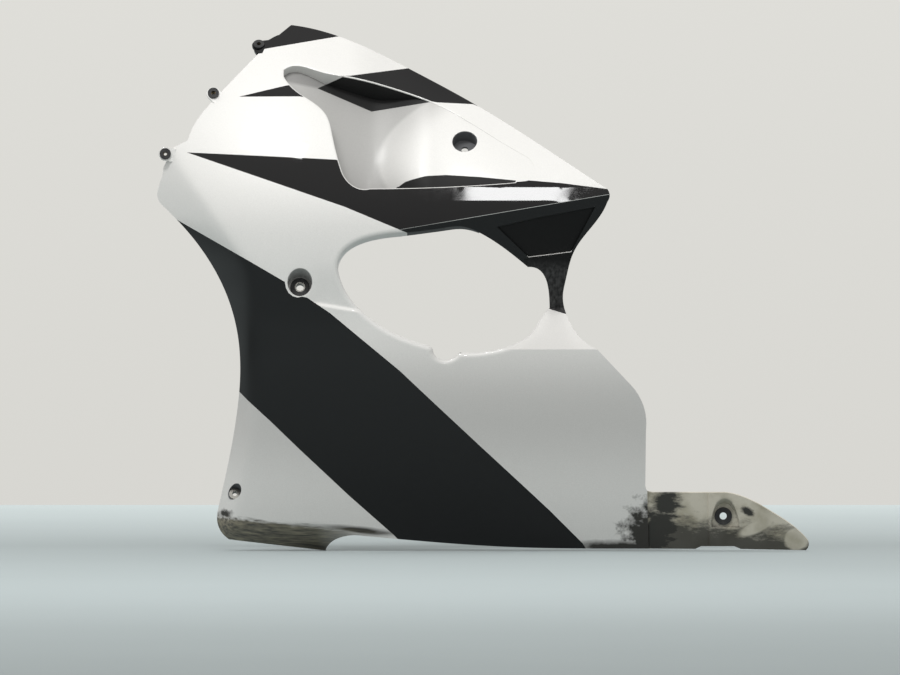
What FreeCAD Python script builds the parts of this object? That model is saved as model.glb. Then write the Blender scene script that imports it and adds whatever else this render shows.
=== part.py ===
"""Left-hand side fairing panel of a motorcycle: a moulded shell with its rubber and metal hardware.

Frame: X runs rearwards, Y inboard and Z up, as the panel leans when it stands on its lower edge.
The origin is at the mouth of the main bolt collar. The skins are heights Y over the X-Z plane.
"""

import FreeCAD, Part
import math
import os
import Sketcher
from FreeCAD import Placement, Rotation, Vector

# Driving sizes: name, value in millimetres (degrees where the name ends in _deg), meaning
SIZES = [
    ("wall", 3.0, "wall of the moulded shell"),
    ("block_depth", 300.0, "depth of the blocks that the skins bound"),
    ("prism_depth", 220.0, "how far inboard the outline prisms reach, short of the blocks' backs"),
    ("start_margin", 40.0, "how far outside the skin a bore starts"),
    ("draw_deg", 20.0, "how far the mould's draw points down"),
    ("crown_z", 73.75, "height of the upper skin's outermost line"),
    ("crown_blend", 222.0, "length over which the upper skin leans back"),
    ("crown_lean_deg", 48.0, "lean that the upper skin tends to"),
    ("under_radius", 355.0, "radius of the upper skin below the crown"),
    ("side_depth", 17.0, "depth of the lower side behind the crown"),
    ("side_z", -64.0, "height of the lower side's outermost line"),
    ("side_radius", 600.0, "radius of the lower side"),
    ("side_blend", 10.0, "blend between upper skin and lower side"),
    ("front_x", 20.0, "where the skin starts to curve in towards the front"),
    ("front_radius", 320.0, "radius of that curve"),
    ("return_x", -60.0, "front crease, where the edge return starts"),
    ("return_top_z", 20.0, "height above which the front crease leans forward"),
    ("return_top_lean_deg", 35.0, "that lean"),
    ("return_low_z", -150.0, "height below which the crease leans forward again"),
    ("return_low_lean_deg", 10.8, "that lean"),
    ("return_blend", 8.0, "softness of the front crease"),
    ("return_low_deg", 52.0, "turn of the edge return along the lower front"),
    ("return_top_deg", 29.0, "turn of the edge return along the nose"),
    ("return_fade_low_z", -20.0, "height where the return starts to flatten"),
    ("return_fade_top_z", 90.0, "height where it is flattest"),
    ("belly_z", -293.75, "height where the belly starts to roll in"),
    ("belly_radius", 20.0, "radius of that roll"),
    ("belly_start_x", 20.0, "where the roll starts to run out rearwards"),
    ("belly_end_x", 130.0, "where it has run out"),
    ("belly_drop", 36.0, "how far it drops by there"),
    ("ledge_z", 127.5, "height of the ledge under the scoop"),
    ("ledge_blend", 8.0, "softness of the ledge line"),
    ("plateau_lean_deg", 14.0, "extra lean of the plateau behind the scoop"),
    ("plateau_start_x", 60.0, "where the plateau starts to lean"),
    ("plateau_full_x", 190.0, "where it has its full lean"),
    ("crease_x", 125.0, "start of the wing's crease"),
    ("crease_z", 71.9, "height of that start"),
    ("crease_rise_deg", 9.57, "rise of the crease towards the tip"),
    ("wing_under_deg", 30.0, "slope of the wing's underside"),
    ("bend_z", -78.0, "bend at the top of the lower panel"),
    ("ramp_deg", 50.0, "slope of the ramp above the bend"),
    ("pad_depth", 2.5, "depth of the recess in the wing's underside"),
    ("scoop_draw_deg", 42.0, "how far the scoop's walls point down"),
    ("scoop_depth", 38.0, "depth of the scoop at its deepest"),
    ("scoop_tail_depth", 9.0, "depth that is left at the ledge where the floor has risen"),
    ("scoop_tail_step", 2.5, "depth that is left there at the scoop's upper rim"),
    ("scoop_end_depth", 2.0, "depth that is left at the scoop's rear end"),
    ("scoop_dip_run", 90.0, "height over which the risen floor dips towards the ledge"),
    ("scoop_top_z", 231.0, "upper rim where the floor has risen"),
    ("scoop_top_fall_deg", 30.0, "fall of the upper rim rearwards from there"),
    ("scoop_nose_depth", 14.0, "depth at the scoop's front tip"),
    ("scoop_nose_x", -21.0, "front tip of the scoop"),
    ("scoop_full_x", 90.0, "where the scoop reaches its depth"),
    ("scoop_rise_x", 88.0, "where its floor starts to rise"),
    ("scoop_step_x", 165.0, "where the rise ends"),
    ("scoop_end_x", 290.0, "rear end of the scoop"),
    ("flange_depth", 15.0, "depth of the vent opening's flange"),
    ("boss_radius", 15.0, "main and upper boss mouths"),
    ("boss_wall", 2.5, "wall round every boss"),
    ("boss_depth", 18.0, "main boss, mouth to collar"),
    ("seat_thickness", 3.0, "floor of every boss"),
    ("upper_boss_x", 206.0, "upper boss"),
    ("upper_boss_z", 182.5, "upper boss"),
    ("upper_boss_deg", 40.0, "how far the upper boss points down"),
    ("upper_boss_depth", 16.0, "upper boss, mouth to seat"),
    ("upper_bolt_radius", 4.5, "bolt hole of the upper boss"),
    ("lower_boss_x", -82.5, "lower front boss"),
    ("lower_boss_z", -256.25, "lower front boss"),
    ("lower_boss_radius", 8.5, "mouth of the lower front boss"),
    ("lower_boss_depth", 10.0, "lower front boss, mouth to seat"),
    ("rear_boss_x", 530.0, "bolt in the tail's recess"),
    ("rear_boss_z", -287.0, "bolt in the tail's recess"),
    ("rear_recess_depth", 9.0, "depth of the tail's recess"),
    ("joggle_depth", 3.0, "how far the tail's root is set in"),
    ("fit_gap", 0.15, "gap round each piece in its hole"),
    ("grommet_flange_radius", 12.0, "main grommet, outer flange"),
    ("grommet_flange", 2.5, "main grommet, flange thickness"),
    ("grommet_neck_radius", 9.0, "main grommet, in the seat's hole"),
    ("grommet_lip_radius", 11.0, "main grommet, inner lip"),
    ("collar_radius", 6.5, "main collar"),
    ("collar_bore_radius", 5.0, "bore of the main collar"),
    ("lower_collar_flange_radius", 7.0, "lower collar, flange"),
    ("lower_collar_flange", 1.5, "lower collar, flange thickness"),
    ("lower_collar_radius", 4.5, "lower collar, sleeve"),
    ("lower_collar_bore_radius", 3.1, "bore of the lower collar"),
    ("lower_collar_length", 6.0, "lower collar, sleeve below the flange"),
    ("rear_flange_radius", 11.0, "rear grommet, outer flange"),
    ("rear_flange", 2.0, "rear grommet, flange thickness"),
    ("rear_neck_radius", 8.0, "rear grommet, in the recess's floor"),
    ("rear_lip_radius", 10.0, "rear grommet, inner lip"),
    ("rear_bore_radius", 4.5, "bore of the rear grommet"),
    ("lug_radius", 8.5, "round end of each front lug"),
    ("lug_thickness", 3.0, "plate of each front lug"),
    ("lug_reach", 15.0, "how far a lug's plate runs under the skin"),
    ("lug_sink", 1.2, "how far a lug's face lies under the skin at its root"),
    ("nut_flange_radius", 7.0, "well nut, rubber flange"),
    ("nut_flange", 2.5, "well nut, flange thickness"),
    ("nut_radius", 4.8, "well nut, rubber body"),
    ("nut_length", 14.0, "well nut, body below the flange"),
    ("insert_radius", 3.4, "well nut, brass insert"),
    ("insert_length", 14.5, "well nut, brass insert"),
    ("insert_bore_radius", 2.1, "thread of the brass insert"),
    ("nut_passage_radius", 2.7, "well nut, bolt passage before the insert"),
]

# Front lugs: name, centre x and z, root point x and z on the skin, tilt upwards in degrees
LUGS = [
    ("low_lug", -169.5, 167.0, -157.0, 165.0, 4.0),
    ("mid_lug", -109.5, 243.0, -101.0, 235.0, 23.0),
    ("top_lug", -53.0, 304.5, -43.0, 295.0, 44.0),
]

# Outlines seen along Y: runs of x, z points; two points are a straight run, more are a curve
OUTLINES = {
    "edge": {
        "top": [(-12.5, 330), (46, 316), (135, 275), (217.5, 230), (300, 178), (384, 122.5)],
        "wing_tip": [(384, 122.5), (387, 115), (384, 106)],
        "wing_rear": [(384, 106), (362.5, 72.5), (342.5, 44), (332.5, 9), (329, -12.5),
                      (334, -36), (347.5, -60.5), (371, -77.5)],
        "panel_rear": [(371, -77.5), (400, -111), (420, -132.5), (430, -154), (432.5, -179)],
        "panel_rear_low": [(432.5, -179), (432, -246)],
        "tail_root": [(432, -246), (434, -254.5), (441, -257.5)],
        "tail_flat": [(441, -257.5), (531, -257.5)],
        "tail_top": [(531, -257.5), (547.5, -260.5), (587.5, -280), (621, -302.5), (634, -315)],
        "tail_tip": [(634, -315), (637.5, -323), (634, -330)],
        "tail_foot": [(634, -330), (552.5, -328.5)],
        "foot_step_rear": [(552.5, -328.5), (544, -325)],
        "foot_step": [(544, -325), (502.5, -325)],
        "foot_step_front": [(502.5, -325), (495, -328.5)],
        "bottom": [(495, -328.5), (375, -328), (262.5, -326), (162.5, -319.5), (69, -311)],
        "belly_notch": [(69, -311), (50, -314), (37.5, -321), (31, -331)],
        "belly": [(31, -331), (-90, -317)],
        "belly_corner": [(-90, -317), (-101, -306), (-105, -284)],
        "front": [(-105, -284), (-96, -245), (-86, -197.5), (-79, -154), (-75.5, -116),
                  (-78, -62.5), (-90, -16), (-112.5, 30), (-137.5, 65), (-162.5, 92), (-175, 104)],
        "nose": [(-175, 104), (-180, 116), (-175.5, 134), (-172.5, 149)],
        "lug_gap": [(-172.5, 149), (-160, 175)],
        "nose_top": [(-160, 175), (-141, 184)],
        "brow": [(-141, 184), (-124, 217.5), (-109, 235), (-75, 271), (-42.5, 305)],
        "brow_corner": [(-42.5, 305), (-12.5, 330)],
    },
    "opening": {
        "upper": [(47.5, 24), (55.5, 44), (87.5, 61), (137.5, 68), (181, 74), (202.5, 75.5),
                  (225, 67.5), (256, 48), (285, 25)],
        "rear": [(285, 25), (301, 20), (311, -4), (312.5, -26)],
        "rear_low": [(312.5, -26), (301, -40), (287.5, -60), (260, -74), (227.5, -81), (199, -82)],
        "notch": [(199, -82), (194, -87), (181, -91), (171, -87.5), (164.5, -74.5)],
        "lower": [(164.5, -74.5), (125, -61), (87.5, -39), (57.5, -6), (47.5, 24)],
    },
    "scoop": {
        "upper": [(-21, 272.5), (-12.5, 277), (25, 270), (56, 264), (125, 246), (162.5, 232.5),
                  (212.5, 206), (275, 167.5)],
        "rear": [(275, 167.5), (292.5, 149), (285, 132.5)],
        "ledge": [(285, 132.5), (219, 127.5), (87.5, 123.5)],
        "corner": [(87.5, 123.5), (70, 125), (60, 132.5), (52.5, 145)],
        "front": [(52.5, 145), (47.5, 161), (40, 192.5), (32.5, 216), (20, 229), (0, 242.5),
                  (-15, 256), (-21, 265)],
        "nose": [(-21, 265), (-21, 272.5)],
    },
    "neck": {
        "top": [(122, 85), (430, 170)],
        "rear": [(430, 170), (430, -100)],
        "bottom": [(430, -100), (183, -100)],
        "front": [(183, -100), (122, 85)],
    },
    "pad": {
        "top": [(246, 75), (300, 87.5), (379, 105)],
        "rear": [(379, 105), (342.5, 44)],
        "bottom": [(342.5, 44), (286, 37)],
        "front": [(286, 37), (246, 75)],
    },
    "joggle": {
        "top": [(434, -240), (511, -240)],
        "rear": [(511, -240), (513.5, -345)],
        "bottom": [(513.5, -345), (437, -345)],
        "front": [(437, -345), (434, -240)],
    },
    "tail_recess": {
        "foot": [(550, -301), (515.5, -300.5)],
        "front": [(515.5, -300.5), (517.5, -281), (522, -270)],
        "round": [(522, -270), (531, -265), (540, -269)],
        "rear": [(540, -269), (546, -281), (550, -301)],
    },
}

# Spans of the skins' splines: first value, last value, number of spans between them
SKIN_X_SPANS = [(-220, -130, 5), (-130, -20, 9), (-20, 60, 2), (60, 400, 5), (400, 680, 2)]
SKIN_Z_SPANS = [(-370, -270, 6), (-270, -80, 4), (-80, 20, 4), (20, 100, 2), (100, 160, 5), (160, 370, 5)]
FLOOR_X_SPANS = [(-60, 80, 4), (80, 180, 6), (180, 330, 3)]
FLOOR_Z_SPANS = [(-200, 100, 3), (100, 340, 7)]
WING_X_SPANS = [(100, 450, 5)]
WING_Z_SPANS = [(-160, 220, 2)]
FIT_ROUNDS = 5
GRADIENT_STEP = 0.5
INBOARD = Vector(0, 1, 0)

doc = FreeCAD.newDocument("side_cover")
sheet = doc.addObject("Spreadsheet::Sheet", "dims")


def fill_sheet():
    """Write every driving size and outline point to the sheet, one aliased cell each."""
    row = 1

    def write(alias, value, note):
        nonlocal row
        sheet.set(f"A{row}", note)
        sheet.set(f"B{row}", str(value))
        sheet.setAlias(f"B{row}", alias)
        row += 1

    for alias, value, note in SIZES:
        write(alias, value, note)
    for lug, *values in LUGS:
        for part, value in zip(("x", "z", "root_x", "root_z", "tilt_deg"), values):
            write(f"{lug}_{part}", value, f"{lug}, {part}")
    for outline, runs in OUTLINES.items():
        for run, points in runs.items():
            for number, point in enumerate(points[:-1], start=1):
                for axis, value in zip("xz", point):
                    write(f"{outline}_{run}_{number}_{axis}", value, f"{outline} outline, {run}")
    doc.recompute()


def size(alias):
    """A driving size, read back from the sheet."""
    return float(sheet.get(alias))


def slope(alias):
    """The tangent of a driving angle."""
    return math.tan(math.radians(size(alias)))


def soft_ramp(value, blend):
    """Zero below, value above, with a soft bend at zero."""
    return (value + math.hypot(value, blend)) / 2


def soft_step(value, start, end):
    """Zero before start, one after end, smooth between."""
    share = min(max((value - start) / (end - start), 0.0), 1.0)
    return share * share * (3 - 2 * share)


def draw_direction(alias="draw_deg"):
    """Unit vector inboard and down, along which a mould feature is drawn."""
    angle = math.radians(size(alias))
    return Vector(0, math.cos(angle), -math.sin(angle))


def upper_skin(x, z):
    """Depth of the upper skin behind its outermost line."""
    above = z - size("crown_z")
    if above < 0:
        return above**2 / (2 * size("under_radius"))
    blend = size("crown_blend")
    depth = math.hypot(blend, slope("crown_lean_deg") * above) - blend
    lean = slope("plateau_lean_deg") * soft_step(x, size("plateau_start_x"), size("plateau_full_x"))
    return depth + lean * soft_ramp(z - size("ledge_z"), size("ledge_blend"))


def lower_side(z):
    """Depth of the lower side behind the same line."""
    return size("side_depth") + (z - size("side_z")) ** 2 / (2 * size("side_radius"))


def edge_return(x, z):
    """Depth that the turned-in front edge adds."""
    crease = size("return_x")
    crease -= slope("return_top_lean_deg") * soft_ramp(z - size("return_top_z"), size("return_blend") * 2)
    crease -= slope("return_low_lean_deg") * soft_ramp(size("return_low_z") - z, size("return_blend") * 2)
    fade = soft_step(z, size("return_fade_low_z"), size("return_fade_top_z"))
    turn = slope("return_low_deg") + (slope("return_top_deg") - slope("return_low_deg")) * fade
    return turn * soft_ramp(crease - x, size("return_blend"))


def raw_skin(x, z):
    """Depth of the whole outer skin, before it is moved to the origin."""
    upper, lower = upper_skin(x, z), lower_side(z)
    depth = (upper + lower - math.hypot(upper - lower, size("side_blend"))) / 2
    depth += max(size("front_x") - x, 0) ** 2 / (2 * size("front_radius"))
    depth += edge_return(x, z)
    run_out = soft_step(x, size("belly_start_x"), size("belly_end_x"))
    belly = size("belly_z") - size("belly_drop") * run_out
    return depth + max(belly - z, 0) ** 2 / (2 * size("belly_radius"))


def outer_skin(x, z):
    """Y of the outer skin; the main boss mouth lies boss_depth before the origin."""
    mouth = draw_direction() * -size("boss_depth")
    return raw_skin(x, z) - raw_skin(0, mouth.z) + mouth.y


def wing_underside(x, z):
    """Y of the underside, which runs inboard below the wing's crease."""
    crease = size("crease_z") + slope("crease_rise_deg") * (x - size("crease_x"))
    return outer_skin(x, crease) + slope("wing_under_deg") * (crease - z)


def neck_ramp(x, z):
    """Y of the ramp from the neck out to the bend of the lower panel."""
    return outer_skin(x, size("bend_z")) + slope("ramp_deg") * (z - size("bend_z"))


def scoop_floor(x, z):
    """Y of the scoop's floor: deep at the front, rising to a plateau that dips towards the ledge."""
    nose = soft_step(x, size("scoop_nose_x"), size("scoop_full_x"))
    front = size("scoop_nose_depth") + (size("scoop_depth") - size("scoop_nose_depth")) * nose
    rise = soft_step(x, size("scoop_rise_x"), size("scoop_step_x"))
    top = size("scoop_top_z") - slope("scoop_top_fall_deg") * (x - size("scoop_step_x"))
    dip = soft_step(top - z, 0, size("scoop_dip_run"))
    tail = size("scoop_tail_step") + (size("scoop_tail_depth") - size("scoop_tail_step")) * dip
    tail += (size("scoop_end_depth") - tail) * soft_step(x, size("scoop_step_x"), size("scoop_end_x"))
    return outer_skin(x, z) + front * (1 - rise) + tail * rise


def inset(skin):
    """The same skin one wall further inboard, measured square to it."""

    def inner(x, z):
        step = GRADIENT_STEP
        along_x = (skin(x + step, z) - skin(x - step, z)) / (2 * step)
        along_z = (skin(x, z + step) - skin(x, z - step)) / (2 * step)
        return skin(x, z) + size("wall") * math.sqrt(1 + along_x**2 + along_z**2)

    return inner


def knots_of(spans):
    """Knot values of a clamped spline over the given spans."""
    knots = [spans[0][0]]
    for first, last, count in spans:
        knots += [first + (last - first) * (step + 1) / count for step in range(count)]
    return knots


def pole_places(knots):
    """Where a cubic spline's poles lie, so that the surface is a true height over X and Z."""
    full = [knots[0]] * 3 + knots + [knots[-1]] * 3
    return [sum(full[i + 1:i + 4]) / 3 for i in range(len(full) - 4)]


def skin_face(name, skin, x_spans, z_spans):
    """A cubic spline face over X and Z, drawn to the skin at every pole's place."""
    x_knots, z_knots = knots_of(x_spans), knots_of(z_spans)
    x_mults = [4] + [1] * (len(x_knots) - 2) + [4]
    z_mults = [4] + [1] * (len(z_knots) - 2) + [4]
    wanted = [[Vector(x, skin(x, z), z) for z in pole_places(z_knots)] for x in pole_places(x_knots)]
    poles = wanted
    surface = Part.BSplineSurface()
    for _ in range(FIT_ROUNDS):
        surface.buildFromPolesMultsKnots(poles, x_mults, z_mults, x_knots, z_knots, False, False, 3, 3)
        poles = [[pole + point - surface.value(point.x, point.z) for pole, point in zip(*rows)]
                 for rows in zip(poles, wanted)]
    face = doc.addObject("Part::Feature", name)
    face.Shape = surface.toShape()
    return face


def extrusion(name, face, direction, forward, back="0"):
    """A solid drawn from a face, over lengths that are expressions; a negative back starts past the face."""
    block = doc.addObject("Part::Extrusion", name)
    block.Base = face
    block.DirMode = "Custom"
    block.Dir = direction
    block.Solid = True
    block.setExpression("LengthFwd", forward)
    block.setExpression("LengthRev", back)
    return block


def skin_block(name, face, start="0"):
    """The block that lies inboard of a skin, beginning at a distance past it."""
    return extrusion(name, face, INBOARD, "dims.block_depth", f"-({start})")


def outline_loop(outline, grow=0.0):
    """The outline's points in order, with the run that each starts or lies on, grown outwards."""
    loop = [(run, number) for run, points in OUTLINES[outline].items() for number in range(1, len(points))]
    points = [Vector(size(f"{outline}_{run}_{number}_x"), 0, size(f"{outline}_{run}_{number}_z"))
              for run, number in loop]
    grown = []
    for i, point in enumerate(points):
        before = (point - points[i - 1]).normalize()
        after = (points[(i + 1) % len(points)] - point).normalize()
        along = (before + after).normalize()
        grown.append(point + Vector(-along.z, 0, along.x) * (grow / along.dot(after)))
    return loop, grown


def outline_wire(outline, skin=None, tilt=0.0, grow=0.0):
    """The closed outline in the plane Y = 0, moved there along the draw where a skin is given."""
    loop, points = outline_loop(outline, grow)
    if skin:
        points = [Vector(p.x, 0, p.z + skin(p.x, p.z) * tilt) for p in points]
    points.append(points[0])
    edges, first = [], 0
    for runs in OUTLINES[outline].values():
        last = first + len(runs) - 1
        if len(runs) == 2:
            edges.append(Part.LineSegment(points[first], points[last]).toShape())
        else:
            curve = Part.BSplineCurve()
            curve.interpolate(points[first:last + 1])
            edges.append(curve.toShape())
        first = last
    return Part.Wire(edges)


def outline_prism(name, wire, direction, forward="dims.prism_depth"):
    """A prism through a closed outline, along a draw direction."""
    face = doc.addObject("Part::Feature", f"{name}_face")
    face.Shape = Part.Face(wire)
    return extrusion(name, face, direction, forward, "dims.prism_depth")


def cut(name, base, tool):
    """base without tool."""
    result = doc.addObject("Part::Cut", name)
    result.Base, result.Tool = base, tool
    return result


def common(name, base, tool):
    """What base and tool share."""
    result = doc.addObject("Part::Common", name)
    result.Base, result.Tool = base, tool
    return result


def fuse(name, pieces):
    """All the pieces as one."""
    result = doc.addObject("Part::MultiFuse", name)
    result.Shapes = pieces
    return result


def axis_placement(point, direction):
    """A placement whose Z runs from point along direction."""
    return Placement(point, Rotation(Vector(0, 0, 1), direction))


def cylinder(name, radius, length, placement):
    """A cylinder whose radius and length are expressions."""
    rod = doc.addObject("Part::Cylinder", name)
    rod.setExpression("Radius", radius)
    rod.setExpression("Height", length)
    rod.Placement = placement
    return rod


def turned_body(name, profile, placement):
    """A body turned from a closed profile of (radius, height) expressions about its own Z."""
    body = doc.addObject("PartDesign::Body", name)
    sketch = body.newObject("Sketcher::SketchObject", f"{name}_profile")
    plane = next(o for o in body.Origin.OriginFeatures if o.Role == "XZ_Plane")
    sketch.AttachmentSupport = [(plane, "")]
    sketch.MapMode = "FlatFace"
    values = [[float(body.evalExpression(term)) for term in corner] for corner in profile]
    count = len(profile)
    for i in range(count):
        first, last = values[i], values[(i + 1) % count]
        sketch.addGeometry(Part.LineSegment(Vector(*first, 0), Vector(*last, 0)), False)
    for i in range(count):
        sketch.addConstraint(Sketcher.Constraint("Coincident", i, 2, (i + 1) % count, 1))
    for i, corner in enumerate(profile):
        for kind, term, value in zip(("DistanceX", "DistanceY"), corner, values[i]):
            index = sketch.addConstraint(Sketcher.Constraint(kind, -1, 1, i, 1, value))
            sketch.setExpression(f"Constraints[{index}]", term)
    turning = body.newObject("PartDesign::Revolution", f"{name}_turning")
    turning.Profile = sketch
    turning.ReferenceAxis = (sketch, ["V_Axis"])
    turning.Angle = 360.0
    body.Placement = placement
    return body


def lug_frame(lug):
    """A lug's centre on its outer face, the way that face looks, and the way to its root."""
    angle = math.radians(size(f"{lug}_tilt_deg"))
    facing = Vector(0, -math.cos(angle), math.sin(angle))
    x, z, root_x, root_z = (size(f"{lug}_{part}") for part in ("x", "z", "root_x", "root_z"))
    root = Vector(root_x, outer_skin(root_x, root_z) + size("lug_sink"), root_z)
    centre = Vector(x, root.y + math.tan(angle) * (z - root_z), z)
    return centre, facing, (root - centre).normalize()


def lug_plate(lug):
    """A lug's flat plate with its round end."""
    centre, facing, root = lug_frame(lug)
    plate = doc.addObject("Part::Box", f"{lug}_plate")
    plate.setExpression("Length", "dims.lug_reach")
    plate.setExpression("Width", "2 * dims.lug_radius")
    plate.setExpression("Height", "dims.lug_thickness")
    side = (facing * -1).cross(root)
    corner = centre - side * size("lug_radius")
    plate.Placement = Placement(corner, Rotation(root, side, facing * -1, "ZXY"))
    disc = cylinder(f"{lug}_disc", "dims.lug_radius", "dims.lug_thickness",
                    axis_placement(centre, facing * -1))
    return [plate, disc]


def boss_tools(boss, mouth, direction, radius, depth, hole):
    """A boss's outside, its mouth and its bolt hole, as cylinders along the draw from outside the skin."""
    start = axis_placement(mouth - direction * size("start_margin"), direction)
    outside = cylinder(f"{boss}_outside", f"{radius} + dims.boss_wall",
                       f"dims.start_margin + {depth} + dims.seat_thickness", start)
    mouth_bore = cylinder(f"{boss}_mouth", radius, f"dims.start_margin + {depth}", start)
    bolt_hole = cylinder(f"{boss}_hole", hole, "3 * dims.start_margin", start)
    return outside, [mouth_bore, bolt_hole]


def node(piece, label):
    """Name a finished piece for its file."""
    piece.Label = label
    nodes.append(piece)


nodes = []
fill_sheet()
draw = draw_direction()
tilt = slope("draw_deg")
scoop_draw = draw_direction("scoop_draw_deg")

# Skins and the blocks behind them
outer_face = skin_face("outer_face", outer_skin, SKIN_X_SPANS, SKIN_Z_SPANS)
inner_face = skin_face("inner_face", inset(outer_skin), SKIN_X_SPANS, SKIN_Z_SPANS)
outer_block = skin_block("outer_block", outer_face)
inner_block = skin_block("inner_block", inner_face)
edge_prism = outline_prism("edge_prism", outline_wire("edge"), INBOARD)
panel_block = common("panel_block", outer_block, edge_prism)

# The hollows of the outer face, each as the outer tool and the same tool one wall larger
outside, inside = panel_block, inner_block
for side, wall_of, grow in (("outer", lambda skin: skin, 0.0), ("inner", inset, size("wall"))):
    wing_face = skin_face(f"{side}_wing_face", wall_of(wing_underside), WING_X_SPANS, WING_Z_SPANS)
    ramp_face = skin_face(f"{side}_ramp_face", wall_of(neck_ramp), WING_X_SPANS, WING_Z_SPANS)
    floor_face = skin_face(f"{side}_floor_face", wall_of(scoop_floor), FLOOR_X_SPANS, FLOOR_Z_SPANS)
    neck = outline_prism(f"{side}_neck_prism", outline_wire("neck"), INBOARD)
    neck = cut(f"{side}_neck_upper", neck, skin_block(f"{side}_wing_block", wing_face))
    neck = cut(f"{side}_neck", neck, skin_block(f"{side}_ramp_block", ramp_face))
    pad = outline_prism(f"{side}_pad_prism", outline_wire("pad", grow=grow), INBOARD)
    pad = cut(f"{side}_pad", pad, skin_block(f"{side}_pad_block", wing_face, "dims.pad_depth"))
    scoop_wire = outline_wire("scoop", outer_skin, slope("scoop_draw_deg"), grow)
    scoop = outline_prism(f"{side}_scoop_prism", scoop_wire, scoop_draw)
    scoop = cut(f"{side}_scoop", scoop, skin_block(f"{side}_floor_block", floor_face))
    skin_of_side, base = (outer_face, outside) if side == "outer" else (inner_face, inside)
    joggle = outline_prism(f"{side}_joggle_prism", outline_wire("joggle", grow=grow), INBOARD)
    joggle_block = skin_block(f"{side}_joggle_block", skin_of_side, "dims.joggle_depth")
    joggle = cut(f"{side}_joggle", joggle, joggle_block)
    for hollow in (neck, pad, scoop, joggle):
        base = cut(f"{base.Name}_less_{hollow.Name}", base, hollow)
    if side == "outer":
        outside = base
    else:
        inside = base
skin = cut("skin", outside, inside)

# The vent opening and its turned-in flange
opening_prism = outline_prism("opening_prism", outline_wire("opening", outer_skin, tilt), draw)
flange_prism = outline_prism("flange_prism", outline_wire("opening", outer_skin, tilt, size("wall")), draw)
flange = common("flange_ring", cut("flange_frame", flange_prism, opening_prism), outside)
flange = cut("flange", flange, skin_block("flange_limit", outer_face, "dims.flange_depth"))

# Bolt bosses
upper_mouth = Vector(size("upper_boss_x"), scoop_floor(size("upper_boss_x"), size("upper_boss_z")),
                     size("upper_boss_z"))
lower_mouth = Vector(size("lower_boss_x"), outer_skin(size("lower_boss_x"), size("lower_boss_z")),
                     size("lower_boss_z"))
main_cup, main_bores = boss_tools(
    "main_boss", draw * -size("boss_depth"), draw, "dims.boss_radius",
    "(dims.boss_depth + dims.grommet_flange)", "dims.grommet_neck_radius + dims.fit_gap")
upper_cup, upper_bores = boss_tools(
    "upper_boss", upper_mouth, draw_direction("upper_boss_deg"), "dims.boss_radius",
    "dims.upper_boss_depth", "dims.upper_bolt_radius")
lower_cup, lower_bores = boss_tools(
    "lower_boss", lower_mouth, draw, "dims.lower_boss_radius",
    "dims.lower_boss_depth", "dims.lower_collar_radius + dims.fit_gap")

# The recess in the tail, with its floor square to Y
rear_seat = Vector(size("rear_boss_x"), 0, size("rear_boss_z"))
rear_seat.y = outer_skin(rear_seat.x, rear_seat.z) + size("rear_recess_depth")
recess_length = f"{rear_seat.y / draw.y}"
recess_block = outline_prism("recess_block", outline_wire("tail_recess", outer_skin, tilt, size("boss_wall")),
                             draw, f"{recess_length} + dims.seat_thickness / cos(dims.draw_deg)")
recess = outline_prism("recess", outline_wire("tail_recess", outer_skin, tilt), draw, recess_length)
rear_hole = cylinder("rear_hole", "dims.rear_neck_radius + dims.fit_gap", "3 * dims.start_margin",
                     axis_placement(rear_seat - INBOARD * size("start_margin"), INBOARD))

# The shell
lugs = [name for name, *_ in LUGS]
plates = [piece for lug in lugs for piece in lug_plate(lug)]
lug_holes = []
for lug in lugs:
    centre, facing, _ = lug_frame(lug)
    hole_start = axis_placement(centre + facing * size("lug_thickness"), facing * -1)
    lug_holes.append(cylinder(f"{lug}_hole", "dims.nut_radius + dims.fit_gap",
                              "2 * dims.nut_length", hole_start))
    lug_holes.append(cylinder(f"{lug}_seat", "dims.nut_flange_radius + dims.fit_gap",
                              "dims.start_margin", axis_placement(centre, facing)))
vented = cut("vented_skin", skin, opening_prism)
backs = fuse("boss_backs", [main_cup, upper_cup, lower_cup, recess_block])
bosses = common("bosses", outside, backs)
solid_shell = fuse("solid_shell", [vented, flange, bosses] + plates)
hollows = fuse("hollows", main_bores + upper_bores + lower_bores + [recess, rear_hole] + lug_holes)
shell = cut("shell", solid_shell, hollows)
node(shell, "side_cover_shell")

# Rubber well nuts with their brass inserts, in the front lugs
nut_rubbers, nut_inserts = [], []
for lug in lugs:
    centre, facing, _ = lug_frame(lug)
    seat = axis_placement(centre, facing * -1)
    nut_rubbers.append(turned_body(f"{lug}_rubber", [
        ("dims.nut_passage_radius", "-dims.nut_flange"),
        ("dims.nut_flange_radius", "-dims.nut_flange"),
        ("dims.nut_flange_radius", "0"),
        ("dims.nut_radius", "0"),
        ("dims.nut_radius", "dims.nut_length"),
        ("dims.insert_radius", "dims.nut_length"),
        ("dims.insert_radius", "dims.nut_length - dims.insert_length"),
        ("dims.nut_passage_radius", "dims.nut_length - dims.insert_length"),
    ], seat))
    nut_inserts.append(turned_body(f"{lug}_insert", [
        ("dims.insert_bore_radius", "dims.nut_length - dims.insert_length"),
        ("dims.insert_radius", "dims.nut_length - dims.insert_length"),
        ("dims.insert_radius", "dims.nut_length"),
        ("dims.insert_bore_radius", "dims.nut_length"),
    ], seat))
for label, pieces in (("well_nut_rubbers", nut_rubbers), ("well_nut_inserts", nut_inserts)):
    group = doc.addObject("Part::Compound", label)
    group.Links = pieces
    node(group, label)

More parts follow.
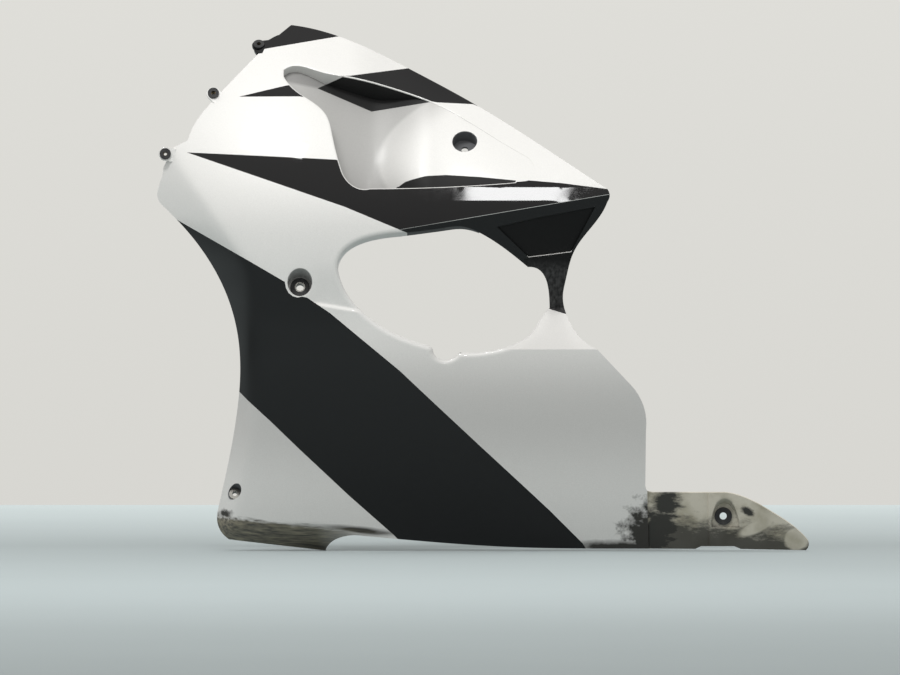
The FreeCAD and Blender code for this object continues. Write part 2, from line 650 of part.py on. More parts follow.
# Grommet and collar of the main boss: the collar's mouth is the origin
main_seat = axis_placement(Vector(0, 0, 0), draw)
grommet_height = "2 * dims.grommet_flange + dims.seat_thickness"
node(turned_body("main_grommet", [
    ("dims.collar_radius", "0"),
    ("dims.grommet_flange_radius", "0"),
    ("dims.grommet_flange_radius", "dims.grommet_flange"),
    ("dims.grommet_neck_radius", "dims.grommet_flange"),
    ("dims.grommet_neck_radius", "dims.grommet_flange + dims.seat_thickness"),
    ("dims.grommet_lip_radius", "dims.grommet_flange + dims.seat_thickness"),
    ("dims.grommet_lip_radius", grommet_height),
    ("dims.collar_radius", grommet_height),
], main_seat), "main_boss_grommet")
node(turned_body("main_collar", [
    ("dims.collar_bore_radius", "0"),
    ("dims.collar_radius", "0"),
    ("dims.collar_radius", grommet_height),
    ("dims.collar_bore_radius", grommet_height),
], main_seat), "main_boss_collar")

# Flanged collar of the lower front boss, on its seat
lower_seat = axis_placement(lower_mouth + draw * size("lower_boss_depth"), draw)
node(turned_body("lower_collar", [
    ("dims.lower_collar_bore_radius", "-dims.lower_collar_flange"),
    ("dims.lower_collar_flange_radius", "-dims.lower_collar_flange"),
    ("dims.lower_collar_flange_radius", "0"),
    ("dims.lower_collar_radius", "0"),
    ("dims.lower_collar_radius", "dims.lower_collar_length"),
    ("dims.lower_collar_bore_radius", "dims.lower_collar_length"),
], lower_seat), "lower_boss_collar")

# Grommet in the floor of the tail's recess
node(turned_body("rear_grommet", [
    ("dims.rear_bore_radius", "-dims.rear_flange"),
    ("dims.rear_flange_radius", "-dims.rear_flange"),
    ("dims.rear_flange_radius", "0"),
    ("dims.rear_neck_radius", "0"),
    ("dims.rear_neck_radius", "dims.seat_thickness"),
    ("dims.rear_lip_radius", "dims.seat_thickness"),
    ("dims.rear_lip_radius", "dims.seat_thickness + dims.rear_flange"),
    ("dims.rear_bore_radius", "dims.seat_thickness + dims.rear_flange"),
], axis_placement(rear_seat, INBOARD)), "rear_boss_grommet")

doc.recompute()
for thing in doc.Objects:
    if {"Invalid", "Error"} & set(thing.State):
        raise RuntimeError(f"{thing.Name} failed: {thing.State}")
for piece in nodes:
    if piece.Shape.isNull() or not piece.Shape.isValid():
        raise RuntimeError(f"{piece.Label} has no valid shape")
if len(shell.Shape.Solids) != 1:
    raise RuntimeError(f"the shell came out as {len(shell.Shape.Solids)} solids")

os.makedirs("parts", exist_ok=True)
for piece in nodes:
    piece.Shape.exportStep(f"parts/{piece.Label}.step")
    print(f"{piece.Label}: {len(piece.Shape.Solids)} solids, {piece.Shape.Volume:.0f} mm3")
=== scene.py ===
"""Builds a motorcycle side cover round its CAD frame: the painted moulded panel, its front lugs,
the finishes of its hardware, the stage and the camera."""

import math

import bmesh
import bpy
import numpy as np
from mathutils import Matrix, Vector
from mathutils.geometry import delaunay_2d_cdt
from mathutils.kdtree import KDTree


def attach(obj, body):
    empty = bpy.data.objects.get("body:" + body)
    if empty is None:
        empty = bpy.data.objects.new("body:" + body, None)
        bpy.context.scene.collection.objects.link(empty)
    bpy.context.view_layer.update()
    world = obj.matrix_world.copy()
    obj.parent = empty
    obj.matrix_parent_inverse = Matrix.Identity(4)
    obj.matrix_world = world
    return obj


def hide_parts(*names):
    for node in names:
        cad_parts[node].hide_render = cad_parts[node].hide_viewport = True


bl_info = {
    "name": "Motorcycle side cover",
    "version": (1, 0, 0),
    "blender": (4, 5, 0),
    "location": "3D View > Sidebar > Side cover",
    "description": "Builds a painted side fairing panel with its hardware, stage and camera",
    "category": "Object",
}

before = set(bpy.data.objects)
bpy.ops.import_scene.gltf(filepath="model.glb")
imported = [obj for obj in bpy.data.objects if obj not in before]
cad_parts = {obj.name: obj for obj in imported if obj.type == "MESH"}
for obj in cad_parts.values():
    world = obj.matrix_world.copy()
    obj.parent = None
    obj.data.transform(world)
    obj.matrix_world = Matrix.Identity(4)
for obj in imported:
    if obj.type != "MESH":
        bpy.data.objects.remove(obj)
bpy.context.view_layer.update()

MM = 0.001
# Material slots of the panel's painted side; the same number again behind it are bare
# SHADE_SILVER is silver with painted shade, SHADE_GREY a dark grey painted as shade
SILVER, BLACK, TAIL, SATIN, SHADE_SILVER, SHADE_GREY, INSIDE = range(7)
WALL = 99  # mark of the scoop's wall until it is painted

# The skin, in mm, with angles in degrees; a pair is where a change starts and ends
CROWN_Z = 73.75  # height of the upper skin's outermost line
CROWN_BLEND = 222  # length over which the upper skin leans back
CROWN_LEAN = 48
UNDER_RADIUS = 355  # upper skin below the crown
SIDE_Z = -64  # height of the lower side's outermost line
SIDE_DEPTH = 17  # how far it lies behind the crown
SIDE_RADIUS = 600
SIDE_BLEND = 10  # blend between upper skin and lower side
FRONT_X = 20  # where the skin starts to curve in towards the front
FRONT_RADIUS = 320
RETURN_X = -60  # front crease, where the edge return starts
RETURN_TOP_Z = 20  # above it the crease leans forward
RETURN_TOP_LEAN = 35
RETURN_LOW_Z = -150  # below it the crease leans forward again
RETURN_LOW_LEAN = 10.8
RETURN_LEAN_BLEND = 16
RETURN_BLEND = 8
RETURN_LOW_TURN = 52  # turn of the edge return along the lower front
RETURN_TOP_TURN = 29  # and along the nose
RETURN_FADE_Z = (-20, 90)
BELLY_Z = -293.75  # where the belly starts to roll in
BELLY_RADIUS = 20
BELLY_DROP = 36  # how far that line drops rearwards
BELLY_DROP_X = (20, 130)
LEDGE_Z = 127.5  # ledge under the scoop
LEDGE_BLEND = 8
PLATEAU_LEAN = 14  # extra lean of the plateau behind the scoop
PLATEAU_X = (60, 190)
WING_CREASE = (125, 71.9)  # a point of the wing's crease
WING_CREASE_RISE = 9.57
WING_UNDER = 30
WING_UNDER_X = (105, 165)
CREASE_LINE_WIDTH = 0.55  # width of the pale line painted just below the wing's crease
BEND_Z = -78.0  # bend at the top of the lower panel
RAMP = 50  # slope of the ramp above the bend
PAD_DEPTH = 2.5
PAD_WALL = 1.0
JOGGLE_DEPTH = 3.0
JOGGLE_WALL = 1.5
ROLL_RADIUS = 7.0  # the opening's rolled rim
ROLL_SHARE = 0.65
SHOULDER_DEPTH = 2.5
SHOULDER_START_X = (8, 28)
SHOULDER_END_X = (75, 110)
SHOULDER_STEP = (-2.5, 2.5)  # over the shoulder's line
SHOULDER_FADE = (5, 55)
PAD_BORDER = (286, 36)  # a point of the line below which the neck's paint has no gloss
PAD_BORDER_RISE = 7.1
PAD_HIGHLIGHT = 2.3  # how far above that line a painted highlight runs along the pad's border

# The scoop and the bosses, in mm, with angles in degrees
SCOOP_NOSE_DEPTH = 14  # at the scoop's front tip
SCOOP_DEPTH = 38
SCOOP_DEEP_X = (-21, 90)
SCOOP_RISE_X = (88, 165)
SCOOP_TAIL_STEP = 0.8  # left at the upper rim where the floor has risen
SCOOP_TAIL_DEPTH = 9  # left at the ledge there
SCOOP_END_DEPTH = 0.3  # left at the rear end
SCOOP_END_X = 290
SCOOP_TOP_Z = 231  # upper rim where the floor has risen, which falls rearwards from there
SCOOP_TOP_FALL = 30
SCOOP_DIP_RUN = 90
BOSS_RADIUS = 15
MAIN_DEPTH = 18  # mouth to collar
MAIN_SEAT = 20.5
MAIN_HOLE = 9.15
LOWER_BOSS = (-82.5, -256.25)
LOWER_RADIUS = 8.5
LOWER_SEAT = 10
LOWER_HOLE = 4.65
UPPER_BOSS = (206.0, 182.5)
UPPER_SEAT = 16
UPPER_HOLE = 4.5
REAR_BOSS = (530.0, -287.0)
REAR_SEAT = 9
REAR_HOLE = 8.15

# Mesh of the panel, in mm
SHEET_LOW = (-182, -333)
SHEET_HIGH = (640, 332)
CREASE_RUN_X = (118, 386)
VALLEY_RUN_X = (210, 345)
BEND_RUN_X = (215, 376)
OUTLINE_STEP = 3.2
OPENING_STEP = 1.6
OPENING_CLEAR = 0.8
RIM_GAP = 2.2  # kept free beside a rim that gets a rounding

# Outlines seen along Y, in mm: runs of x, z points; two points are a straight run, more are a curve
OUTLINES = {
    "edge": [
        [(-12.5, 330), (46, 316), (135, 275), (217.5, 230), (300, 178), (384, 122.5)],
        [(384, 122.5), (387, 115), (384, 106)],
        [(384, 106), (362.5, 72.5), (342.5, 44), (332.5, 9), (329, -12.5), (334, -36),
         (347.5, -60.5), (371, -77.5)],
        [(371, -77.5), (411, -120)],
        [(411, -120), (423.5, -136), (430, -151), (432.5, -179)],
        [(432.5, -179), (432, -246)],
        [(432, -246), (434, -254.5), (441, -257.5)],
        [(441, -257.5), (531, -257.5)],
        [(531, -257.5), (547.5, -260.5), (587.5, -280), (621, -302.5), (634, -315)],
        [(634, -315), (637.5, -323), (634, -330)],
        [(634, -330), (552.5, -328.5)],
        [(552.5, -328.5), (544, -325)],
        [(544, -325), (502.5, -325)],
        [(502.5, -325), (495, -328.5)],
        [(495, -328.5), (375, -328), (262.5, -326), (162.5, -319.5), (69, -311)],
        [(69, -311), (50, -314), (37.5, -321), (31, -331)],
        [(31, -331), (-90, -317)],
        [(-90, -317), (-101, -306), (-105, -284)],
        [(-105, -284), (-96, -245), (-86, -197.5), (-79, -154), (-75.5, -116), (-78, -62.5), (-90, -16),
         (-112.5, 30), (-137.5, 65), (-162.5, 92), (-175, 104)],
        [(-175, 104), (-180, 116), (-175.5, 134), (-172.5, 149)],
        [(-172.5, 149), (-160, 175)],
        [(-160, 175), (-141, 184)],
        [(-141, 184), (-124, 217.5), (-109, 235), (-75, 271), (-42.5, 305)],
        [(-42.5, 305), (-12.5, 330)],
    ],
    "opening": [
        [(47.5, 24), (55.5, 44), (87.5, 61), (137.5, 68), (181, 74), (202.5, 75.5), (225, 67.5),
         (256, 48), (285, 25)],
        [(285, 25), (301, 20), (311, -4), (312.5, -26)],
        [(312.5, -26), (301, -40), (287.5, -60), (260, -74), (227.5, -81), (203, -82)],
        [(203, -82), (198.5, -82.8), (195.5, -85.5)],
        [(195.5, -85.5), (189, -89.5), (181, -91), (171, -87.5), (166, -78)],
        [(166, -78), (163.8, -74.8), (159.5, -72.9)],
        [(159.5, -72.9), (125, -61), (87.5, -39), (57.5, -6), (47.5, 24)],
    ],
    "scoop": [
        [(-21, 272.5), (-12.5, 277), (25, 270), (56, 264), (125, 246), (162.5, 232.5), (212.5, 206),
         (275, 167.5)],
        [(275, 167.5), (292.5, 149), (285, 132.5)],
        [(285, 132.5), (219, 127.5), (87.5, 123.5)],
        [(87.5, 123.5), (70, 125), (60, 132.5), (52.5, 145)],
        [(52.5, 145), (47.5, 161), (40, 192.5), (32.5, 216), (20, 229), (0, 242.5), (-15, 256), (-21, 265)],
        [(-21, 265), (-21, 272.5)],
    ],
    "recess": [
        [(550, -301), (515.5, -300.5)],
        [(515.5, -300.5), (517.5, -281), (522, -270)],
        [(522, -270), (531, -265), (540, -269)],
        [(540, -269), (546, -281), (550, -301)],
    ],
}
NECK = [(122, 85), (430, 170), (430, -100), (183, -100)]
PAD = [(246, 75), (300, 87.5), (369, 100), (339, 43.6), (286, 37)]
JOGGLE = [(434, -240), (511, -240), (513.5, -345), (437, -345)]

# Fields of black paint, in mm along X and Z
STRIPES = {
    "corner": [(-80, 293.6), (80, 321), (80, 350), (-80, 350)],
    "wedge_front": [(-77.5, 238.75), (12.5, 260), (25, 239)],
    "wedge_rear": [(40, 262.2), (135, 275), (160, 280), (235, 222), (216.25, 229.4), (120, 234.2),
                   (60, 250)],
    "band": [(-142.5, 168.75), (70, 157.9), (250, 150), (275, 134), (325, 130), (395, 121),
             (400, 100), (400, -33.75), (332.5, -33.75), (316, -28.75), (300, -22), (290, 0), (200, 60),
             (137.5, 66.25), (125, 71.25), (56.25, 100)],
    "diagonal": [(-170, 93), (-153.75, 83.75), (-62.5, 31.9), (-18.75, 6.4), (-17.4, -1), (-14, -7.5),
                 (-9, -11.5), (-3, -13.2), (3, -12.3), (6.5, -11.5), (37.5, -32.5), (125, -105),
                 (168.75, -146.25), (225, -198.75), (275, -245), (312.5, -280), (353.75, -321.25),
                 (362, -335), (140, -335), (117.5, -311.25), (62.5, -262.5), (0, -203.75),
                 (-37.5, -167.5), (-66.25, -141.25), (-76.25, -131.25), (-110, -100), (-170, 60)],
}
TAIL_FIELD = [(434, -240), (660, -240), (660, -345), (437, -345)]
# Black fields of the scoop's floor; the last point of the first and the last two of the second lie off it
SCOOP_FIELD = [(54.1, 264.1), (21.1, 249.5), (89, 220.25), (163.25, 232.1), (166, 262)]
LEDGE_FIELD = [(123.75, 125.75), (131.25, 131.25), (139, 134), (157, 138.75), (182.5, 140), (225, 137.5),
               (250, 135), (270, 133), (280, 100), (100, 100)]

# Front lugs: centre x and z, root x and z on the skin, tilt upwards in degrees, black or silver
LUGS = [
    (-169.5, 167.0, -157.0, 165.0, 4.0, SILVER),
    (-109.5, 243.0, -101.0, 235.0, 23.0, SILVER),
    (-53.0, 304.5, -43.0, 295.0, 44.0, BLACK),
]
LUG_RADIUS = 8.5
LUG_HOLE = 4.95
LUG_REACH = 12
LUG_THICKNESS = 3
LUG_SINK = 1.2  # how far a lug's face lies under the skin at its root
# Black arm and foot that tie the top lug to the panel's edge: depth behind the skin, points in mm
LUG_TIES = [
    (LUG_SINK, [(-26, 314), (-28.5, 317.5), (-34, 315), (-41, 311), (-50, 310), (-50, 300), (-42, 300)]),
    (-0.3, [(-60, 302), (-58, 296), (-55.5, 294), (-48.5, 294), (-44.5, 302.5), (-53, 299.5)]),
]


def linear(colour):
    """Linear colour with alpha from an sRGB hex value."""
    parts = [int(colour[i:i + 2], 16) / 255 for i in (1, 3, 5)]
    return [part / 12.92 if part <= 0.04045 else ((part + 0.055) / 1.055) ** 2.4 for part in parts] + [1.0]


def length_property(name, description, default):
    """A size in metres that the sidebar shows."""
    return bpy.props.FloatProperty(name=name, description=description, default=default, unit="LENGTH")


def colour_property(name, description, default):
    """A colour that the sidebar shows."""
    return bpy.props.FloatVectorProperty(name=name, description=description, default=linear(default),
                                         subtype="COLOR", size=4, min=0, max=1)


class CoverSizes(bpy.types.PropertyGroup):
    """Sizes of the moulded panel."""

    wall: length_property("Wall", "Thickness of the moulded wall", 0.003)
    rim_round: length_property("Rim rounding", "Rounding of the scoop's, bosses' and recess's rims", 0.0014)
    edge_round: length_property("Edge rounding", "Rounding of the panel's free edge", 0.0006)
    lug_round: length_property("Lug rounding", "Rounding of the lugs' edges", 0.0005)
    flange: length_property("Flange", "Depth of the vent opening's turned-in flange", 0.015)
    cell: length_property("Mesh cell", "Spacing of the panel's mesh", 0.004)
    fine_cell: length_property("Fine mesh cell", "Spacing in the tighter bends", 0.002)


class CoverColours(bpy.types.PropertyGroup):
    """Colours of the finishes."""

    silver: colour_property("Silver", "Silver metallic paint", "#D2D1CE")
    black: colour_property("Black", "Gloss black paint", "#070708")
    satin: colour_property("Satin black", "Black paint without a gloss coat", "#0D0D0D")
    # A dark grey painted as the bosses' shade
    boss_shade: colour_property("Boss shade", "Dark grey painted as shade in the upper and lower bosses", "#58595B")
    tail: colour_property("Tail", "Worn plastic of the tail", "#BDB8AA")
    bare: colour_property("Bare plastic", "Unpainted moulded plastic behind the panel", "#26282A")
    dirt: colour_property("Dirt", "Black road dirt", "#2A2925")
    mud: colour_property("Mud", "Dried brown mud", "#857F6A")
    dust: colour_property("Dust", "Dust on the bare plastic", "#6B665E")
    rubber: colour_property("Rubber", "Moulded rubber", "#17181A")
    rubber_dust: colour_property("Rubber dust", "Dust on the rubber", "#4A4844")
    steel: colour_property("Steel", "Zinc plated steel, dulled", "#6C6B67")
    brass: colour_property("Brass", "Machined brass, tarnished", "#5E523A")
    floor: colour_property("Floor", "Pale floor", "#9DA6A7")
    backdrop: colour_property("Backdrop", "Pale backdrop", "#DBDAD5")


class CoverSettings(bpy.types.PropertyGroup):
    """All that a user may change."""

    sizes: bpy.props.PointerProperty(type=CoverSizes, name="Sizes", description="Sizes of the panel")
    colours: bpy.props.PointerProperty(type=CoverColours, name="Colours",
                                       description="Colours of the finishes")


def slope(degrees):
    """Rise over run of an angle."""
    return math.tan(math.radians(degrees))


def draw_direction(degrees):
    """Unit vector inboard and down."""
    angle = math.radians(degrees)
    return Vector((0, math.cos(angle), -math.sin(angle)))


DRAW = draw_direction(20)
SCOOP_DRAW = draw_direction(42)
UPPER_DRAW = draw_direction(40)
MAIN_MOUTH = DRAW * -MAIN_DEPTH


def soft_ramp(value, blend):
    """Zero before the ramp and its own value after it, blended in between."""
    return (value + np.hypot(value, blend)) / 2


def soft_step(value, start, end):
    """Zero before start, one after end."""
    share = np.clip((value - start) / (end - start), 0.0, 1.0)
    return share * share * (3 - 2 * share)


def front_crease(z):
    """X of the front crease, where the edge return starts."""
    return (RETURN_X - slope(RETURN_TOP_LEAN) * soft_ramp(z - RETURN_TOP_Z, RETURN_LEAN_BLEND)
            - slope(RETURN_LOW_LEAN) * soft_ramp(RETURN_LOW_Z - z, RETURN_LEAN_BLEND))


def belly_line(x):
    """Height where the belly starts to roll in."""
    return BELLY_Z - BELLY_DROP * soft_step(x, *BELLY_DROP_X)


def tight_bend(x, z):
    """Where the skin bends tightly: along the front crease and at the belly."""
    return (np.abs(x - front_crease(z)) < 16) | (z < belly_line(x) + 4)


def raw_skin(x, z):
    """Depth of the outer skin before it is moved to the origin."""
    above = z - CROWN_Z
    lean = slope(PLATEAU_LEAN) * soft_step(x, *PLATEAU_X) * soft_ramp(z - LEDGE_Z, LEDGE_BLEND)
    upper = np.where(above < 0, above**2 / (2 * UNDER_RADIUS),
                     np.hypot(CROWN_BLEND, slope(CROWN_LEAN) * above) - CROWN_BLEND + lean)
    lower = SIDE_DEPTH + (z - SIDE_Z) ** 2 / (2 * SIDE_RADIUS)
    low_turn, top_turn = slope(RETURN_LOW_TURN), slope(RETURN_TOP_TURN)
    turn = low_turn + (top_turn - low_turn) * soft_step(z, *RETURN_FADE_Z)
    return ((upper + lower - np.hypot(upper - lower, SIDE_BLEND)) / 2
            + np.maximum(FRONT_X - x, 0) ** 2 / (2 * FRONT_RADIUS)
            + turn * soft_ramp(front_crease(z) - x, RETURN_BLEND)
            + np.maximum(belly_line(x) - z, 0) ** 2 / (2 * BELLY_RADIUS))


def outer_skin(x, z):
    """Y of the outer skin, which passes through the main boss's mouth."""
    return raw_skin(x, z) - raw_skin(0.0, MAIN_MOUTH.z) + MAIN_MOUTH.y


def wing_crease(x):
    """Height of the wing's crease."""
    return WING_CREASE[1] + slope(WING_CREASE_RISE) * (x - WING_CREASE[0])


def wing_underside(x, z):
    """Y of the underside, which runs inboard below the wing's crease."""
    under = slope(WING_UNDER) * soft_step(x, *WING_UNDER_X)
    return outer_skin(x, wing_crease(x)) + under * (wing_crease(x) - z)


def neck_ramp(x, z):
    """Y of the ramp from the neck out to the bend of the lower panel."""
    return outer_skin(x, BEND_Z) + slope(RAMP) * (z - BEND_Z)


def scoop_floor(x, z):
    """Y of the scoop's floor: deep at the front, rising to a plateau that dips towards the ledge."""
    front = SCOOP_NOSE_DEPTH + (SCOOP_DEPTH - SCOOP_NOSE_DEPTH) * soft_step(x, *SCOOP_DEEP_X)
    rise = soft_step(x, *SCOOP_RISE_X)
    step_x = SCOOP_RISE_X[1]
    dip = soft_step(SCOOP_TOP_Z - slope(SCOOP_TOP_FALL) * (x - step_x) - z, 0, SCOOP_DIP_RUN)
    tail = SCOOP_TAIL_STEP + (SCOOP_TAIL_DEPTH - SCOOP_TAIL_STEP) * dip
    tail += (SCOOP_END_DEPTH - tail) * soft_step(x, step_x, SCOOP_END_X)
    return outer_skin(x, z) + front * (1 - rise) + tail * rise


def on_surface(surface, x, z, behind=0.0):
    """A point on a surface over X and Z, or some way behind it, in mm."""
    return Vector((x, float(surface(x, z)) + behind, z))


def inside(loop, points):
    """Which of the points lie in a closed loop."""
    x, z = points[:, 0], points[:, 1]
    within = np.zeros(len(points), bool)
    for (ax, az), (bx, bz) in zip(loop, loop[1:] + loop[:1]):
        if az != bz:
            within ^= ((az > z) != (bz > z)) & (x < (bx - ax) * (z - az) / (bz - az) + ax)
    return within


def distance_to(loop, points):
    """Distance of each point from a closed loop."""
    nearest = np.full(len(points), 1e9)
    for (ax, az), (bx, bz) in zip(loop, loop[1:] + loop[:1]):
        run = np.array([bx - ax, bz - az])
        share = np.clip(((points - (ax, az)) @ run) / (run @ run), 0, 1)
        nearest = np.minimum(nearest, np.hypot(*(points - (ax, az) - share[:, None] * run).T))
    return nearest


def set_in(loop, points, depth, wall_run):
    """How far a recess with a sloping wall sets each point in."""
    return depth * inside(loop, points) * np.clip(distance_to(loop, points) / wall_run, 0, 1)


def curve_through(points, spacing):
    """Points along a smooth curve through the given ones, without the last."""
    points = np.array(points, float)
    steps = np.hypot(*np.diff(points, axis=0).T)
    places = np.concatenate([[0], np.cumsum(steps)])
    count = max(int(round(places[-1] / spacing)), 1)
    wanted = places[-1] * np.arange(count) / count
    if len(points) == 2:
        return points[0] + (points[1] - points[0]) * wanted[:, None] / places[-1]
    if len(points) == 3:
        return np.stack([np.polyval(np.polyfit(places, points[:, axis], 2), wanted) for axis in (0, 1)], 1)
    size = len(points)
    matrix, right = np.zeros((size, size)), np.zeros((size, 2))
    for i in range(1, size - 1):
        matrix[i, i - 1:i + 2] = steps[i - 1], 2 * (steps[i - 1] + steps[i]), steps[i]
        right[i] = 6 * ((points[i + 1] - points[i]) / steps[i] - (points[i] - points[i - 1]) / steps[i - 1])
    matrix[0, :3] = steps[1], -steps[0] - steps[1], steps[0]
    matrix[-1, -3:] = steps[-1], -steps[-1] - steps[-2], steps[-2]
    bends = np.linalg.solve(matrix, right)
    part = np.clip(np.searchsorted(places, wanted, side="right") - 1, 0, size - 2)
    after = (wanted - places[part])[:, None]
    before = (places[part + 1] - wanted)[:, None]
    step = steps[part][:, None]
    return ((bends[part] * before**3 + bends[part + 1] * after**3) / (6 * step)
            + (points[part] / step - bends[part] * step / 6) * before
            + (points[part + 1] / step - bends[part + 1] * step / 6) * after)


def outline(name, spacing=OUTLINE_STEP):
    """The closed outline as a list of points."""
    return [tuple(point) for run in OUTLINES[name] for point in curve_through(run, spacing)]


def line_through(points):
    """An open line of straight runs as a list of points."""
    line = [tuple(point) for pair in zip(points, points[1:]) for point in curve_through(pair, OUTLINE_STEP)]
    return line + [points[-1]]


def rim_roll(points):
    """How far the opening's rolled rim turns each point in; the wing's side stays crisp."""
    x, z = points.T
    past = np.maximum(ROLL_RADIUS - distance_to(outline("opening"), points), 0)
    rolled = ROLL_RADIUS - np.sqrt(np.maximum(ROLL_RADIUS**2 - past**2, 0))
    return ROLL_SHARE * rolled * (1 - soft_step(x, 110, 190) * soft_step(z, -40, 0))


def shoulder_line(x):
    """Height of the soft shoulder between the main boss and the opening."""
    return -17.3 - 0.17 * x


def shoulder(points):
    """How far the skin sits back above the soft shoulder, which fades at both ends and upwards."""
    x, z = points.T
    above = z - shoulder_line(x)
    along = soft_step(x, *SHOULDER_START_X) * (1 - soft_step(x, *SHOULDER_END_X))
    return SHOULDER_DEPTH * along * soft_step(above, *SHOULDER_STEP) * (1 - soft_step(above, *SHOULDER_FADE))


def panel_face(points):
    """Y of the finished outer face."""
    x, z = points.T
    skin = outer_skin(x, z)
    hollow = np.maximum(skin, np.minimum(wing_underside(x, z), neck_ramp(x, z)))
    face = np.where(inside(NECK, points), hollow, skin)
    return (face + set_in(PAD, points, PAD_DEPTH, PAD_WALL)
            + set_in(JOGGLE, points, JOGGLE_DEPTH, JOGGLE_WALL) + rim_roll(points) + shoulder(points))


def with_crossings(loop, fields, clear=2.0):
    """The loop with a point at each crossing with the fields' lines, and none too close to it."""
    points = []
    for a, b in zip(loop, loop[1:] + loop[:1]):
        run = np.subtract(b, a)
        cuts = []
        for field in fields:
            for c, d in zip(field, field[1:] + field[:1]):
                other, gap = np.subtract(d, c), np.subtract(c, a)
                cross = run[0] * other[1] - run[1] * other[0]
                if abs(cross) > 1e-9:
                    along = (gap[0] * other[1] - gap[1] * other[0]) / cross
                    across = (gap[0] * run[1] - gap[1] * run[0]) / cross
                    if 0 <= along < 1 and 0 <= across <= 1:
                        cuts.append(along)
        points.append((np.array(a), False))
        points += [(a + run * cut, True) for cut in sorted(cuts)]
    crossings = [point for point, crossing in points if crossing]
    return [tuple(point) for point, crossing in points if crossing
            or all(np.hypot(*(point - other)) > clear for other in crossings)]


def shrunk(loop, distance):
    """A convex loop, clockwise or not, moved inwards."""
    centre = np.mean(loop, axis=0)
    corners = []
    for i, point in enumerate(np.array(loop, float)):
        before = point - loop[i - 1]
        after = loop[(i + 1) % len(loop)] - point
        normals = []
        for run in (before, after):
            normal = np.array([-run[1], run[0]]) / np.hypot(*run)
            normals.append(normal if normal @ (centre - point) > 0 else -normal)
        inward = normals[0] + normals[1]
        corners.append(tuple(point + inward * distance / (1 + normals[0] @ normals[1])))
    return corners


def drawn_to(surface, point, direction):
    """Where a line from a point along a direction meets a surface over X and Z, in mm."""
    travel, step = 0.0, 1.0
    # Damped steps, because the surfaces lean
    while abs(step) > 1e-4:
        x, y, z = point + direction * travel
        step = 0.7 * (float(surface(x, z)) - y) / direction.y
        travel += step
    return point + direction * travel


def mouth_loop(centre, direction, radius, surface, count):
    """The mouth of a round boss on a surface, as points over X and Z."""
    side = Vector((1, 0, 0))
    rise = direction.cross(side)
    loop = []
    for i in range(count):
        turn = -2 * math.pi * i / count
        point = centre + (side * math.cos(turn) + rise * math.sin(turn)) * radius
        x, _, z = drawn_to(surface, point, direction)
        loop.append((x, z))
    return loop


def clear_of(loops, points, gap):
    """The points that keep a gap from the loops, so that a rounding fits between."""
    kept = np.array(points)
    for loop in loops:
        low, high = np.min(loop, axis=0) - gap, np.max(loop, axis=0) + gap
        near = np.all((kept[:, :2] > low) & (kept[:, :2] < high), axis=1)
        near[near] = distance_to(loop, kept[near, :2]) < gap
        kept = kept[~near]
    return [tuple(point) for point in kept.tolist()]


def flat_sheet(outer, holes, lines, spots):
    """Triangles between an outer loop and its holes, along the lines and through the spots."""
    points, edges = [], []
    for loop in [outer] + holes:
        first = len(points)
        points += loop
        edges += [(first + i, first + (i + 1) % len(loop)) for i in range(len(loop))]
    for line in lines:
        first = len(points)
        points += line
        edges += [(first + i, first + i + 1) for i in range(len(line) - 1)]
    tree = KDTree(len(points))
    for i, (x, z) in enumerate(points):
        tree.insert((x, z, 0), i)
    tree.balance()
    # A spot closer than about half a cell to a line would leave slivers
    for x, z, cell in spots:
        if tree.find((x, z, 0))[2] > 0.55 * cell:
            points.append((x, z))
    flat, _, faces = delaunay_2d_cdt([Vector(point) for point in points], edges, [], 0, 1e-4)[:3]
    flat = np.array([tuple(point) for point in flat])
    middles = np.array([flat[face].mean(axis=0) for face in faces])
    keep = inside(outer, middles)
    for hole in holes:
        keep &= ~inside(hole, middles)
    return flat, [face for face, kept in zip(faces, keep) if kept], middles[keep]


def hex_spots(low, high, cell, wanted=None):
    """Spots of an even three-way grid, all or where wanted."""
    row_step = cell * math.sqrt(0.75)
    rows = int((high[1] - low[1]) / row_step) + 1
    columns = int((high[0] - low[0]) / cell) + 1
    row, column = np.meshgrid(np.arange(rows), np.arange(columns), indexing="ij")
    x = (low[0] + cell * (column + 0.5 * (row % 2))).ravel()
    z = (low[1] + row_step * row).ravel()
    if wanted:
        keep = wanted(x, z)
        x, z = x[keep], z[keep]
    return [(float(px), float(pz), cell) for px, pz in zip(x, z)]


def paint_faces(faces, slot):
    """Give faces a material slot."""
    for face in faces:
        face.material_index = slot


def add_sheet(mesh, flat, faces, heights, paint):
    """Lift a flat sheet to its heights in the mesh and paint its faces."""
    used = sorted({i for face in faces for i in face})
    verts = {i: mesh.verts.new(Vector((flat[i][0], heights[i], flat[i][1])) * MM) for i in used}
    for face, slot in zip(faces, paint):
        mesh.faces.new([verts[i] for i in face]).material_index = int(slot)


def of_kind(kind, items):
    """The items of one kind, out of what a bmesh operator made."""
    return [item for item in items if isinstance(item, kind)]


def draw_rim(mesh, edges, place):
    """Extrude rim edges and put each new vertex where place says, in mm; returns new edges and faces."""
    made = bmesh.ops.extrude_edge_only(mesh, edges=edges)["geom"]
    verts = set(of_kind(bmesh.types.BMVert, made))
    for vert in verts:
        vert.co = place(vert.co / MM) * MM
    rim = [edge for edge in of_kind(bmesh.types.BMEdge, made) if verts.issuperset(edge.verts)]
    return rim, of_kind(bmesh.types.BMFace, made)


def in_order(edges):
    """The vertices of a closed chain of edges, in order."""
    near = {}
    for edge in edges:
        first, last = edge.verts
        near.setdefault(first, []).append(last)
        near.setdefault(last, []).append(first)
    start = min(near, key=lambda vert: vert.index)
    chain, here, before = [], start, None
    while True:
        chain.append(here)
        onward = [vert for vert in near[here] if vert is not before]
        here, before = onward[0], here
        if here is start:
            return chain


